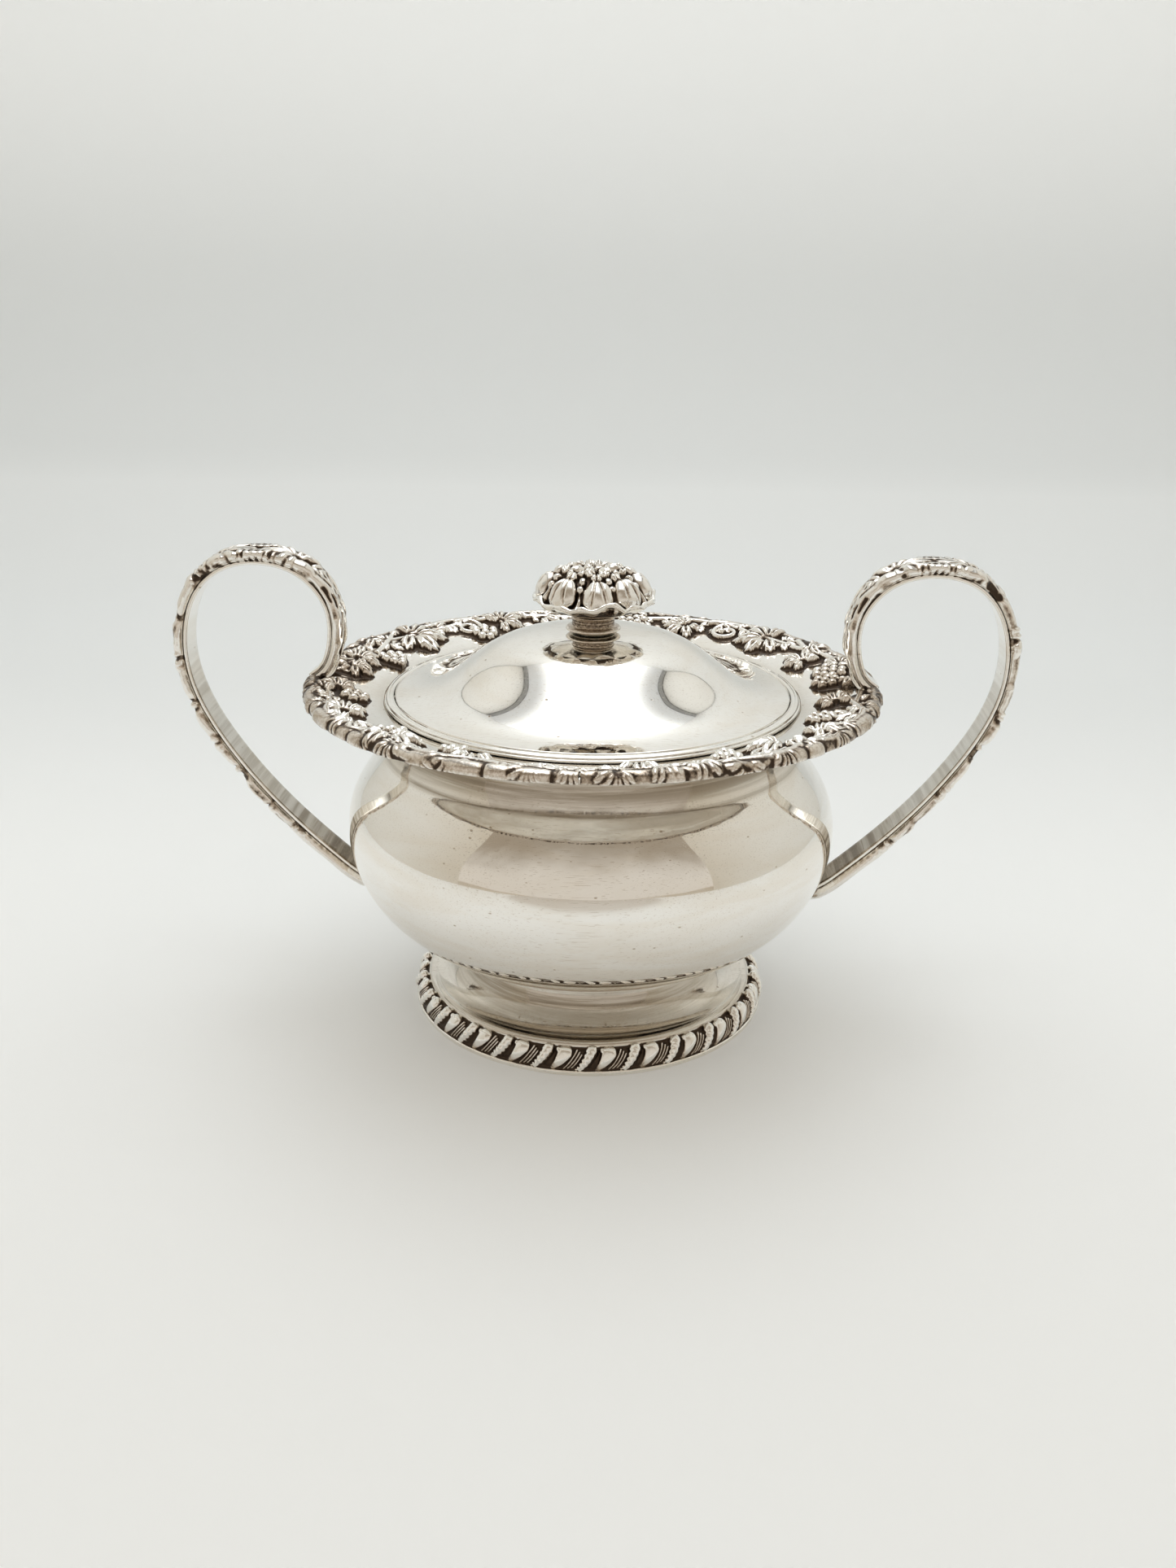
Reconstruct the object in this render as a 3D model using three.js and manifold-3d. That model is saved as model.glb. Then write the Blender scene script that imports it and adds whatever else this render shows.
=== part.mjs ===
// Covered two-handled sugar bowl in polished silver: a round bulging bowl on a spread foot, a wide rim
// with a cast vine border, a lift-off domed lid with a flower finial, and two tall loop handles.
// Millimetres, +Z up. The origin is the centre of the face that the foot rests on; the handles lie on X.
import * as THREE from 'three';
import { mergeVertices } from 'three/addons/utils/BufferGeometryUtils.js';
import Module from 'manifold-3d';

const wasm = await Module();
wasm.setup();

// ---- Driving dimensions ------------------------------------------------------------------------------
const GAP = 0.3;                 // air between pieces that touch on the real object
const SEGMENTS = 40;             // facets round a spun piece
const TURNED_SEGMENTS = 20;      // facets round a small turned piece

const WALL = 1.1;                // spun bowl wall
const BELLY_RADIUS = 60.9;       // widest part of the bowl
const FLANGE_RADIUS = 69.4;      // edge of the bowl's rim flange
const SEAT_RADIUS = 50.6;        // where the lid's edge rests on the flange
const SEAT_Z = 80.7;             // top of the flange at the lid's edge
const FLANGE_EDGE_Z = 84.2;      // top of the flange at its outer edge

const FOOT_RADIUS = 45.2;        // base wire
const FOOT_WIRE_HEIGHT = 1.3;
const FOOT_WALL = 0.9;
const GADROON_LOBES = 56;        // lobes and leaves in turn, round the foot
const GADROON_LOBE_HEIGHT = 0.35;

const BORDER_INNER_RADIUS = 55.2;
const BORDER_RADIUS = 70.0;      // mean outer edge of the vine border
const BORDER_RIPPLE = 0.5;       // how far its outline waves in and out
const BORDER_PLATE = 1.0;        // thickness of the border under its relief
const BORDER_RELIEF = 1.5;       // height of its leaves and grapes
const BORDER_SEAM_ANGLE = 0.004; // half the gap between two sections, in radians

const HANDLE_WIDTH = 8.4;
const STRAP_THICKNESS = 1.2;
const VINE_THICKNESS = 1.4;      // cast vine on the strap's outer face, without its relief
const VINE_RELIEF = 0.8;

const LID_WALL = 0.9;
const LID_TOP_Z = 96.8;
const LID_COVER_RADIUS = 48.3;   // the dome inside its edge wire
const LID_EDGE_Z = 82.1;
const BEZEL_RADIUS = 47.0;       // the lid's locating ring, inside the bowl's neck
const BEZEL_THICKNESS = 0.9;
const BEZEL_BOTTOM_Z = 75.8;

const STUD_RADIUS = 1.6;
const STUD_HOLE_RADIUS = 1.95;
const STUD_BOTTOM_Z = 91.4;
const STUD_TOP_Z = 110.0;
const NUT_ACROSS_FLATS = 6.4;
const NUT_HEIGHT = 2.2;
const WASHER_THICKNESS = 0.6;
const STEM_BOTTOM_Z = 97.7;
const PLATE_BOTTOM_Z = 101.4;
const PLATE_RADIUS = 15.3;
const FINIAL_PETALS = 8;
const FINIAL_TOP_Z = 114.0;

// ---- Materials ---------------------------------------------------------------------------------------
const silver = (color, roughness) => new THREE.MeshStandardMaterial({ color, roughness, metalness: 1 });
const POLISHED = { color: 0xd9d6d0, roughness: 0.12 };
const CAST = { color: 0xb8b1a8, roughness: 0.3 };
const HIDDEN = { color: 0x9c968c, roughness: 0.4 };

// ---- Geometry helpers --------------------------------------------------------------------------------
const group = new THREE.Group();

// Adds one sub-part to the object.
function add(name, geometry, finish) {
  const mesh = new THREE.Mesh(geometry, silver(finish.color, finish.roughness));
  mesh.name = name;
  group.add(mesh);
  return mesh;
}

// Welds a geometry's corners and turns its faces outwards if they point in.
function closed(geometry) {
  geometry.deleteAttribute('uv');
  geometry.deleteAttribute('normal');
  const welded = mergeVertices(geometry, 1e-4);
  const p = welded.attributes.position;
  const index = welded.index.array;
  const corner = (k) => new THREE.Vector3().fromBufferAttribute(p, index[k]);
  let volume = 0;
  for (let k = 0; k < index.length; k += 3) {
    volume += corner(k).dot(corner(k + 1).cross(corner(k + 2)));
  }
  if (volume < 0) {
    for (let k = 0; k < index.length; k += 3) {
      [index[k], index[k + 1]] = [index[k + 1], index[k]];
    }
  }
  return welded;
}

// Spins a profile of [radius, z] points round the Z axis. A profile off the axis closes on itself.
function spin(profile, segments = SEGMENTS) {
  const points = profile.map(([r, z]) => new THREE.Vector2(r, z));
  if (profile[0][0] > 0) points.push(points[0].clone());
  const geometry = new THREE.LatheGeometry(points, segments);
  geometry.rotateX(Math.PI / 2);
  return closed(geometry);
}

// The curve moved sideways by a distance, to the left of its direction.
function offset(points, distance) {
  return points.map((point, k) => {
    const before = points[Math.max(k - 1, 0)];
    const after = points[Math.min(k + 1, points.length - 1)];
    const along = new THREE.Vector2(after[0] - before[0], after[1] - before[1]).normalize();
    return [point[0] - along.y * distance, point[1] + along.x * distance];
  });
}

// A wall of even thickness with the given outer curve, as a profile that goes out and comes back.
function wall(outer, thickness) {
  return [...outer, ...offset(outer, thickness).reverse()];
}

// A box of columns by rows whose points are moved to place(u, v, w), with u, v and w from 0 to 1.
function bend(columns, rows, place) {
  const geometry = new THREE.BoxGeometry(1, 1, 1, columns, rows, 1);
  const p = geometry.attributes.position;
  for (let k = 0; k < p.count; k += 1) {
    const moved = place(p.getX(k) + 0.5, p.getY(k) + 0.5, p.getZ(k) + 0.5);
    p.setXYZ(k, moved.x, moved.y, moved.z);
  }
  return closed(geometry);
}

// Moves each point of a spun piece in or out by a distance that depends on its angle and height.
function ripple(geometry, distance) {
  const p = geometry.attributes.position;
  for (let k = 0; k < p.count; k += 1) {
    const radius = Math.hypot(p.getX(k), p.getY(k));
    const angle = Math.atan2(p.getY(k), p.getX(k));
    const scale = 1 + distance(angle, radius, p.getZ(k)) / radius;
    p.setX(k, p.getX(k) * scale);
    p.setY(k, p.getY(k) * scale);
  }
  return geometry;
}

function toManifold(geometry) {
  const vertProperties = new Float32Array(geometry.attributes.position.array);
  const triVerts = new Uint32Array(geometry.index.array);
  return new wasm.Manifold(new wasm.Mesh({ numProp: 3, vertProperties, triVerts }));
}

function fromManifold(manifold) {
  const mesh = manifold.getMesh();
  const geometry = new THREE.BufferGeometry();
  geometry.setAttribute('position', new THREE.BufferAttribute(mesh.vertProperties, 3));
  geometry.setIndex(new THREE.BufferAttribute(mesh.triVerts, 1));
  return geometry;
}

// ---- Bowl --------------------------------------------------------------------------------------------
// Height of the flange's upper face, from the lid's seat out to the edge.
function flangeTop(radius) {
  const part = (radius - SEAT_RADIUS) / (FLANGE_RADIUS - SEAT_RADIUS);
  return SEAT_Z + (FLANGE_EDGE_Z - SEAT_Z) * part;
}

const bowlOutside = [
  [0, 14.7], [16, 15.0], [28, 16.0], [36, 18.4], [43.2, 21.6], [49.5, 25.4], [55, 30.9],
  [58.7, 37.6], [60.6, 44.2], [BELLY_RADIUS, 49.0], [60.2, 54.4], [57.6, 60.2], [54, 65.2],
  [51.2, 68.6], [49.6, 71.6], [48.9, 74.6], [49.0, 77.0], [50.2, 79.0], [54, flangeTop(54) - WALL],
  [62, flangeTop(62) - WALL], [FLANGE_RADIUS, flangeTop(FLANGE_RADIUS) - WALL],
];

function bowlProfile() {
  const inside = offset(bowlOutside, WALL);
  inside[0] = [0, bowlOutside[0][1] + WALL];
  return [...bowlOutside, ...inside.reverse()];
}

add('bowl_body', spin(bowlProfile()), POLISHED);

// ---- Foot --------------------------------------------------------------------------------------------
const skirtBottom = FOOT_WIRE_HEIGHT + GAP;
const footOutside = [
  [42.6, skirtBottom], [42.1, 6.2], [41.0, 7.1], [39.4, 6.9], [36.4, 7.5], [33.2, 9.4], [31.0, 12.2],
  [30.2, 15.6],
];
add('foot_pedestal', spin(wall(footOutside, FOOT_WALL)), POLISHED);

const wireInner = 41.4;
const wireRound = 0.4;
add('foot_base_wire', spin([
  [wireInner, 0], [FOOT_RADIUS - wireRound, 0], [FOOT_RADIUS, wireRound],
  [FOOT_RADIUS, FOOT_WIRE_HEIGHT - wireRound], [FOOT_RADIUS - wireRound, FOOT_WIRE_HEIGHT],
  [wireInner, FOOT_WIRE_HEIGHT],
]), POLISHED);

// Gadrooned border: slanted lobes and leaves in turn, on a band that is fullest at mid height.
function gadroonBorder() {
  const inner = 43.0;
  const band = spin([
    [inner, skirtBottom], [44.6, skirtBottom], [44.8, 3.0], [44.3, 4.8], [43.2, 6.0], [inner - 0.5, 6.0],
  ], GADROON_LOBES * 2);
  return ripple(band, (angle, radius, z) => {
    const slant = (z - skirtBottom) * 0.02;
    const lobe = Math.cos(GADROON_LOBES * (angle + slant));
    return radius > inner + 0.1 ? GADROON_LOBE_HEIGHT * lobe : 0;
  });
}
add('foot_gadroon_border', gadroonBorder(), CAST);

// ---- Vine border on the rim --------------------------------------------------------------------------
// Four cast sections, soldered end to end; the handles stand in the gaps at +X and -X.
const handleGapAngle = (HANDLE_WIDTH / 2 + GAP) / BORDER_RADIUS + 0.006;

function borderSection(start, end) {
  const motifs = 5;
  return bend(20, 3, (u, v, w) => {
    const angle = start + (end - start) * u;
    const wave = Math.cos(2 * Math.PI * motifs * u);
    const outer = BORDER_RADIUS + BORDER_RIPPLE * wave;
    const inner = BORDER_INNER_RADIUS + BORDER_RIPPLE * (1 + Math.cos(4 * Math.PI * motifs * u));
    const radius = inner + (outer - inner) * v;
    const crown = Math.sin(Math.PI * Math.min(Math.max(v, 0.1), 0.9));
    const relief = BORDER_RELIEF * crown * (0.8 + 0.2 * wave);
    const top = flangeTop(Math.min(radius, FLANGE_RADIUS)) + GAP + BORDER_PLATE + relief;
    const bottom = flangeTop(Math.min(radius, FLANGE_RADIUS)) + GAP;
    const z = bottom + (top - bottom) * w;
    return new THREE.Vector3(radius * Math.cos(angle), radius * Math.sin(angle), z);
  });
}

const quarter = Math.PI / 2;
const sections = {
  rim_border_back_right: [handleGapAngle, quarter - BORDER_SEAM_ANGLE],
  rim_border_back_left: [quarter + BORDER_SEAM_ANGLE, 2 * quarter - handleGapAngle],
  rim_border_front_left: [2 * quarter + handleGapAngle, 3 * quarter - BORDER_SEAM_ANGLE],
  rim_border_front_right: [3 * quarter + BORDER_SEAM_ANGLE, 4 * quarter - handleGapAngle],
};
for (const [name, [start, end]] of Object.entries(sections)) add(name, borderSection(start, end), CAST);

// ---- Handles -----------------------------------------------------------------------------------------
// The strap's inner face, from the rim over the top of the loop and down to the bowl, as [x, z].
const handleLine = [
  [69.6, 85.4], [67.0, 87.4], [65.2, 91.2], [64.4, 96.0], [64.9, 101.5], [67.6, 106.6], [72.4, 110.5],
  [79.0, 112.3], [85.6, 111.9], [91.4, 109.3], [95.9, 104.2], [98.2, 98.0], [98.9, 91.0], [97.8, 83.0],
  [94.5, 74.5], [88.8, 65.0], [81.5, 55.4], [72.0, 45.2], [62.8, 36.7], [58.5, 33.2], [55.4, 31.1],
  [53.4, 29.6],
];
const loopCurve = new THREE.CatmullRomCurve3(
  handleLine.map(([x, z]) => new THREE.Vector3(x, 0, z)),
);

// A band along the loop: v runs across its width, w from the near to the far side of the loop's line.
function loopBand(columns, rows, width, nearSide, farSide) {
  return bend(columns, rows, (u, v, w) => {
    const point = loopCurve.getPointAt(u);
    const along = loopCurve.getTangentAt(u);
    const outwards = new THREE.Vector3(-along.z, 0, along.x);
    const distance = nearSide(u) + (farSide(u, v) - nearSide(u)) * w;
    point.addScaledVector(outwards, distance);
    point.y = width(u) * (v - 0.5);
    return point;
  });
}

// The strap and the vine are narrower where they rise from the rim and where they meet the bowl.
function bandWidth(u) {
  const fromRim = THREE.MathUtils.smoothstep(u, 0, 0.22);
  const toBowl = 1 - THREE.MathUtils.smoothstep(u, 0.93, 1);
  return HANDLE_WIDTH * Math.min(0.74 + 0.26 * fromRim, 0.8 + 0.2 * toBowl);
}

const grownBowl = toManifold(spin([
  [0, bowlOutside[0][1] - GAP],
  ...offset(bowlOutside, -GAP).slice(1, -1),
  [FLANGE_RADIUS + GAP, FLANGE_EDGE_Z - WALL - GAP],
  [FLANGE_RADIUS + GAP, FLANGE_EDGE_Z + GAP],
  [SEAT_RADIUS, SEAT_Z + GAP],
  [0, SEAT_Z + GAP],
]));

function trimToBowl(geometry) {
  return fromManifold(toManifold(geometry).subtract(grownBowl));
}

const strap = trimToBowl(loopBand(36, 1, bandWidth, () => 0, () => STRAP_THICKNESS));

// The vine follows the strap on its outer face, down to the bowl.
const vineNear = STRAP_THICKNESS + GAP;
const vine = trimToBowl(loopBand(
  40, 2, bandWidth,
  () => vineNear,
  (u, v) => vineNear + VINE_THICKNESS + VINE_RELIEF * Math.sin(Math.PI * v) * (0.75 + 0.25 * Math.cos(44 * u)),
));

for (const [side, turn] of [['right', 0], ['left', Math.PI]]) {
  add(`handle_strap_${side}`, strap, POLISHED).rotation.z = turn;
  add(`handle_vine_${side}`, vine, CAST).rotation.z = turn;
}

// ---- Lid ---------------------------------------------------------------------------------------------
const lidOutside = [
  [LID_COVER_RADIUS, LID_EDGE_Z], [44, 82.5], [40, 83.5], [36, 85.4], [32, 88.1], [28, 91.1],
  [24, 93.6], [20, 95.2], [15, 96.3], [8, LID_TOP_Z], [STUD_HOLE_RADIUS, LID_TOP_Z],
];
add('lid_dome', spin(wall(lidOutside, LID_WALL)), POLISHED);

const edgeInner = LID_COVER_RADIUS + GAP;
add('lid_edge_wire', spin([
  [edgeInner, LID_EDGE_Z - LID_WALL], [SEAT_RADIUS - 0.2, SEAT_Z + GAP], [SEAT_RADIUS, SEAT_Z + GAP + 0.3],
  [SEAT_RADIUS - 0.3, LID_EDGE_Z - 0.3], [SEAT_RADIUS - 0.8, LID_EDGE_Z], [edgeInner, LID_EDGE_Z],
]), POLISHED);

const bezelTop = LID_EDGE_Z - LID_WALL - GAP;
add('lid_bezel', spin([
  [BEZEL_RADIUS - BEZEL_THICKNESS, BEZEL_BOTTOM_Z], [BEZEL_RADIUS, BEZEL_BOTTOM_Z],
  [BEZEL_RADIUS, bezelTop], [BEZEL_RADIUS - BEZEL_THICKNESS, bezelTop],
]), POLISHED);

// ---- Finial ------------------------------------------------------------------------------------------
// A flat ring round the stud.
function ring(radius, bottom, top) {
  return spin([
    [STUD_HOLE_RADIUS, bottom], [radius, bottom], [radius, top], [STUD_HOLE_RADIUS, top],
  ], TURNED_SEGMENTS);
}

const lidUnderside = LID_TOP_Z - LID_WALL;
const spacerBottom = LID_TOP_Z + GAP;
const nutWasherTop = lidUnderside - GAP;
const nutTop = nutWasherTop - WASHER_THICKNESS - GAP;
add('finial_spacer', ring(5.4, spacerBottom, STEM_BOTTOM_Z - GAP), HIDDEN);
add('finial_nut_washer', ring(4.6, nutWasherTop - WASHER_THICKNESS, nutWasherTop), HIDDEN);

function hexNut() {
  const corner = NUT_ACROSS_FLATS / Math.sqrt(3);
  const outline = new THREE.Shape();
  for (let k = 0; k < 6; k += 1) {
    const angle = (k * Math.PI) / 3;
    const point = [corner * Math.cos(angle), corner * Math.sin(angle)];
    if (k === 0) outline.moveTo(...point);
    else outline.lineTo(...point);
  }
  outline.closePath();
  const hole = new THREE.Path();
  hole.absarc(0, 0, STUD_HOLE_RADIUS, 0, 2 * Math.PI, true);
  outline.holes.push(hole);
  const nut = new THREE.ExtrudeGeometry(outline, { depth: NUT_HEIGHT, bevelEnabled: false, curveSegments: 8 });
  nut.translate(0, 0, nutTop - NUT_HEIGHT);
  return closed(nut);
}
add('finial_nut', hexNut(), HIDDEN);

add('finial_stud', spin([
  [0, STUD_BOTTOM_Z], [STUD_RADIUS, STUD_BOTTOM_Z], [STUD_RADIUS, STUD_TOP_Z], [0, STUD_TOP_Z],
], TURNED_SEGMENTS), HIDDEN);

const stemTop = PLATE_BOTTOM_Z - GAP;
add('finial_stem', spin([
  [STUD_HOLE_RADIUS, STEM_BOTTOM_Z], [6.6, STEM_BOTTOM_Z], [6.7, STEM_BOTTOM_Z + 0.4], [5.4, 98.6],
  [4.9, 99.5], [5.2, 100.6], [5.5, stemTop], [STUD_HOLE_RADIUS, stemTop],
], TURNED_SEGMENTS), POLISHED);

const petalWave = (angle) => Math.cos(FINIAL_PETALS * angle);
const plateEdgeZ = 105.2;
const plate = spin([
  [STUD_HOLE_RADIUS, PLATE_BOTTOM_Z], [5.6, PLATE_BOTTOM_Z], [9.6, 102.6], [13, 103.9], [14.9, plateEdgeZ],
  [13.6, plateEdgeZ + 0.1], [9, 103.6], [STUD_HOLE_RADIUS, 103.2],
], FINIAL_PETALS * 4);
add('finial_plate', ripple(plate, (angle, radius) => (
  radius > 13.5 ? (PLATE_RADIUS - 14.9) * petalWave(2 * angle) : 0
)), CAST);

// A ring of bulging petals that stands on the plate, with a crown in its middle.
const petals = spin([
  [6.4, 104.0], [9.0, 104.1], [13.2, 105.8], [14.0, 107.6], [12.9, 110.2], [10.4, 112.2], [8.2, 112.4],
  [6.4, 111.2],
], FINIAL_PETALS * 4);
add('finial_petals', ripple(petals, (angle, radius) => (
  radius > 8 ? 0.05 * radius * petalWave(angle) : 0
)), CAST);

add('finial_crown', spin([
  [STUD_HOLE_RADIUS, 103.6], [5.7, 103.6], [6.0, 108.0], [5.8, 111.6], [4.0, 113.2], [2.0, FINIAL_TOP_Z],
  [0, FINIAL_TOP_Z], [0, STUD_TOP_Z + GAP], [STUD_HOLE_RADIUS, STUD_TOP_Z + GAP],
], TURNED_SEGMENTS), CAST);

export default group;
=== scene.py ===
"""Covered two-handled sugar bowl in polished silver, with cast vine ornament and a flower finial."""
import math

import bmesh
import bpy
import numpy as np
from mathutils import Matrix, Vector


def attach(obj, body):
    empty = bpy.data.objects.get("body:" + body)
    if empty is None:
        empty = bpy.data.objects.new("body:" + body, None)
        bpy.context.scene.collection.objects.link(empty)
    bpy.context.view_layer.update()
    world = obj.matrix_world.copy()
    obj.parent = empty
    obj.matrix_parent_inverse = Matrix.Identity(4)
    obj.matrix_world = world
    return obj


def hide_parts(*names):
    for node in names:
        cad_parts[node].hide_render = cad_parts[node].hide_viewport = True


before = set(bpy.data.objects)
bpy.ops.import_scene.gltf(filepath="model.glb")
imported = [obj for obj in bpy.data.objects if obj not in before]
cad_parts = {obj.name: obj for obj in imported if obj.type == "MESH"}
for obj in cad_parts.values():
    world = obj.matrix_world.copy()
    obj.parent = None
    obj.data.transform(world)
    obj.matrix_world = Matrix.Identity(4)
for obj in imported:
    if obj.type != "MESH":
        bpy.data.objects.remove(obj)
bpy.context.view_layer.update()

MM = 0.001  # shapes are worked out in millimetres, and Blender's unit is the metre

# ---- Driving dimensions, in millimetres, as the frame has them ----
WALL = 1.1
SEAT_RADIUS, SEAT_Z = 50.6, 80.7
FLANGE_RADIUS, FLANGE_EDGE_Z = 69.4, 84.2
FLANGE_SLOPE = (FLANGE_EDGE_Z - SEAT_Z) / (FLANGE_RADIUS - SEAT_RADIUS)
FOOT_WALL = 0.9
LID_WALL = 0.9
ROUND_STEPS = 256  # faces round a spun piece

# ---- Camera ----
CAMERA_PLACE = (12.1, -346.2, 186.5)
CAMERA_TURN, CAMERA_PITCH, CAMERA_ROLL = (math.radians(a) for a in (-2.136, 20.459, 0.698))
CAMERA_SENSOR, CAMERA_LENS = 36.0, 33.627


def make_camera():
    flat = math.cos(CAMERA_PITCH)
    forward = Vector((math.sin(CAMERA_TURN) * flat, math.cos(CAMERA_TURN) * flat, -math.sin(CAMERA_PITCH)))
    level = Vector((math.cos(CAMERA_TURN), -math.sin(CAMERA_TURN), 0))
    upright = level.cross(forward)
    right = math.cos(CAMERA_ROLL) * level + math.sin(CAMERA_ROLL) * upright
    up = math.cos(CAMERA_ROLL) * upright - math.sin(CAMERA_ROLL) * level
    data = bpy.data.cameras.new("camera")
    data.sensor_width = CAMERA_SENSOR
    data.lens = CAMERA_LENS
    data.clip_start, data.clip_end = 0.01, 20
    camera = bpy.data.objects.new("camera", data)
    bpy.context.scene.collection.objects.link(camera)
    place = Matrix((right, up, -forward)).transposed().to_4x4()
    place.translation = Vector(CAMERA_PLACE) * MM
    camera.matrix_world = place
    bpy.context.scene.camera = camera


# ---- Material nodes ----
class Nodes:
    """A material's node tree, with short calls for the nodes used here."""

    def __init__(self, name):
        self.material = bpy.data.materials.new(name)
        self.material.use_nodes = True
        self.tree = self.material.node_tree

    def put(self, socket, value):
        """Gives a socket a number, a colour or another node's output."""
        if isinstance(value, (int, float)):
            socket.default_value = value
        elif isinstance(value, tuple):
            socket.default_value = (*value, 1)
        else:
            self.tree.links.new(value, socket)

    def node(self, kind, inputs=None, **settings):
        made = self.tree.nodes.new("ShaderNode" + kind)
        for key, value in settings.items():
            setattr(made, key, value)
        for socket, value in (inputs or {}).items():
            self.put(made.inputs[socket], value)
        return made

    def surface(self, inputs):
        """Sets the shader's inputs, and gives the finished material."""
        shader = self.tree.nodes["Principled BSDF"]
        for socket, value in inputs.items():
            self.put(shader.inputs[socket], value)
        return self.material

    def place(self, scale, turn=(0, 0, 0)):
        """Object coordinates in millimetres, times scale, after a turn."""
        mapping = self.node("Mapping", {"Vector": self.node("TexCoord").outputs["Object"]})
        mapping.inputs["Rotation"].default_value = turn
        mapping.inputs["Scale"].default_value = [s / MM for s in scale]
        return mapping.outputs[0]

    def xyz(self):
        """The three object coordinates in millimetres."""
        return self.node("SeparateXYZ", {0: self.place((1, 1, 1))}).outputs

    def noise(self, scale, detail=3.0, roughness=0.5, turn=(0, 0, 0), distortion=0.0):
        inputs = {"Scale": 1.0, "Detail": detail, "Roughness": roughness, "Distortion": distortion}
        return self.node("TexNoise", {"Vector": self.place(scale, turn), **inputs}).outputs[0]

    def cells(self, scale):
        return self.node("TexVoronoi", {"Vector": self.place(scale), "Scale": 1.0}).outputs[0]

    def fit(self, value, low, high, to_low=0.0, to_high=1.0):
        """Moves value's range low to high onto another, clamped at its ends."""
        inputs = {"Value": value, "From Min": low, "From Max": high, "To Min": to_low, "To Max": to_high}
        return self.node("MapRange", inputs, interpolation_type="SMOOTHSTEP").outputs[0]

    def math(self, operation, a, b=0.0):
        return self.node("Math", {0: a, 1: b}, operation=operation).outputs[0]

    def plus(self, a, b):
        return self.math("ADD", a, b)

    def times(self, a, b):
        return self.math("MULTIPLY", a, b)

    def mix(self, share, a, b):
        """Colour a where share is 0, and b where it is 1."""
        return self.node("Mix", {0: share, 6: a, 7: b}, data_type="RGBA").outputs[2]

    def patina(self):
        """How tarnished a piece is at each of its corners, together with the shade that is painted into the
        same attribute.
        """
        return self.node("Attribute", attribute_name="patina").outputs["Fac"]

    def bump(self, height, depth):
        """Bumps of the given depth in millimetres."""
        return self.node("Bump", {"Height": height, "Strength": 1.0, "Distance": depth * MM}).outputs[0]


SILVER = (0.93, 0.91, 0.87)
WORN_SILVER = (0.86, 0.81, 0.73)
TARNISH = (0.42, 0.33, 0.22)
# Tarnish and patina colours. Through the patina attribute they also paint shade on the bowl, the foot and the
# border's outer wall.
PALE_TARNISH_AND_SHADE = (0.50, 0.41, 0.29)
WARM_OXIDE = (0.58, 0.48, 0.38)
DARK_PATINA_AND_SHADE = (0.060, 0.042, 0.030)
BARE_BRASS, PLATED_BRASS = (0.62, 0.55, 0.42), (0.70, 0.67, 0.61)


def scratch_mask(nodes, turn, length, width, share):
    """1 on hairline scratches that run along the turned X axis, and 0 elsewhere."""
    lines = nodes.noise((1 / length, 1 / width, 1 / width), detail=1.0, turn=turn)
    return nodes.fit(lines, share, share + 0.02)


def polished_silver():
    """Hand-polished silver plate: near-mirror, with hairlines, small pits, and a warm film wiped round."""
    nodes = Nodes("polished_silver")
    film = nodes.fit(nodes.noise((0.022, 0.022, 0.11), 5.0, 0.6, distortion=0.6), 0.40, 0.66)
    cloud = nodes.fit(nodes.noise((0.10, 0.10, 0.22), 5.0, 0.6), 0.35, 0.75)
    long_scratches = scratch_mask(nodes, (0.3, 0.4, 0.7), 8.0, 0.24, 0.675)
    short_scratches = scratch_mask(nodes, (-0.5, 0.2, 2.1), 5.0, 0.20, 0.68)
    scratches = nodes.math("MAXIMUM", long_scratches, short_scratches)
    pits = nodes.fit(nodes.cells((0.16, 0.16, 0.3)), 0.075, 0.035)
    # The patina attribute holds tarnish and painted shade. The shade is painted on the bowl's neck, crease
    # and flange underside and on the foot, and the streaks break it into lighter and darker lines.
    streak = nodes.noise((0.016, 0.016, 0.55), 5.0, 0.65, distortion=0.3)
    patina = nodes.times(nodes.patina(), nodes.fit(streak, 0.38, 0.62, 0.80, 1.22))
    colour = nodes.mix(nodes.times(film, 0.75), SILVER, WORN_SILVER)
    colour = nodes.mix(nodes.times(scratches, 0.28), colour, TARNISH)
    colour = nodes.mix(nodes.times(pits, 0.75), colour, TARNISH)
    tarnish_and_shade = nodes.mix(patina, PALE_TARNISH_AND_SHADE, DARK_PATINA_AND_SHADE)
    rough = nodes.plus(nodes.fit(cloud, 0.0, 1.0, 0.028, 0.07), nodes.times(scratches, 0.16))
    height = nodes.noise((0.045, 0.045, 0.09), 2.0)
    height = nodes.plus(height, nodes.times(scratches, -0.015))
    height = nodes.plus(height, nodes.times(pits, -0.25))
    return nodes.surface({
        "Base Color": nodes.mix(nodes.fit(patina, 0.0, 0.7), colour, tarnish_and_shade),
        "Metallic": 1.0,
        "Roughness": nodes.plus(rough, nodes.times(patina, 0.11)),
        "Normal": nodes.bump(height, 0.075),
    })


def cast_silver():
    """Cast and chased silver ornament: bright worn tops, brown-black oxide left in the hollows."""
    nodes = Nodes("cast_silver")
    grain = nodes.noise((1.6, 1.6, 1.6), 4.0, 0.6)
    patina = nodes.times(nodes.patina(), nodes.fit(grain, 0.35, 0.7, 0.78, 1.22))
    dark = nodes.fit(patina, 0.16, 0.60)
    worn = nodes.mix(nodes.fit(patina, 0.02, 0.36), SILVER, WARM_OXIDE)
    return nodes.surface({
        "Base Color": nodes.mix(dark, worn, DARK_PATINA_AND_SHADE),
        "Metallic": 1.0,
        "Roughness": nodes.plus(nodes.fit(grain, 0.3, 0.8, 0.06, 0.14), nodes.times(dark, 0.30)),
        "Normal": nodes.bump(grain, 0.03),
    })


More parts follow.
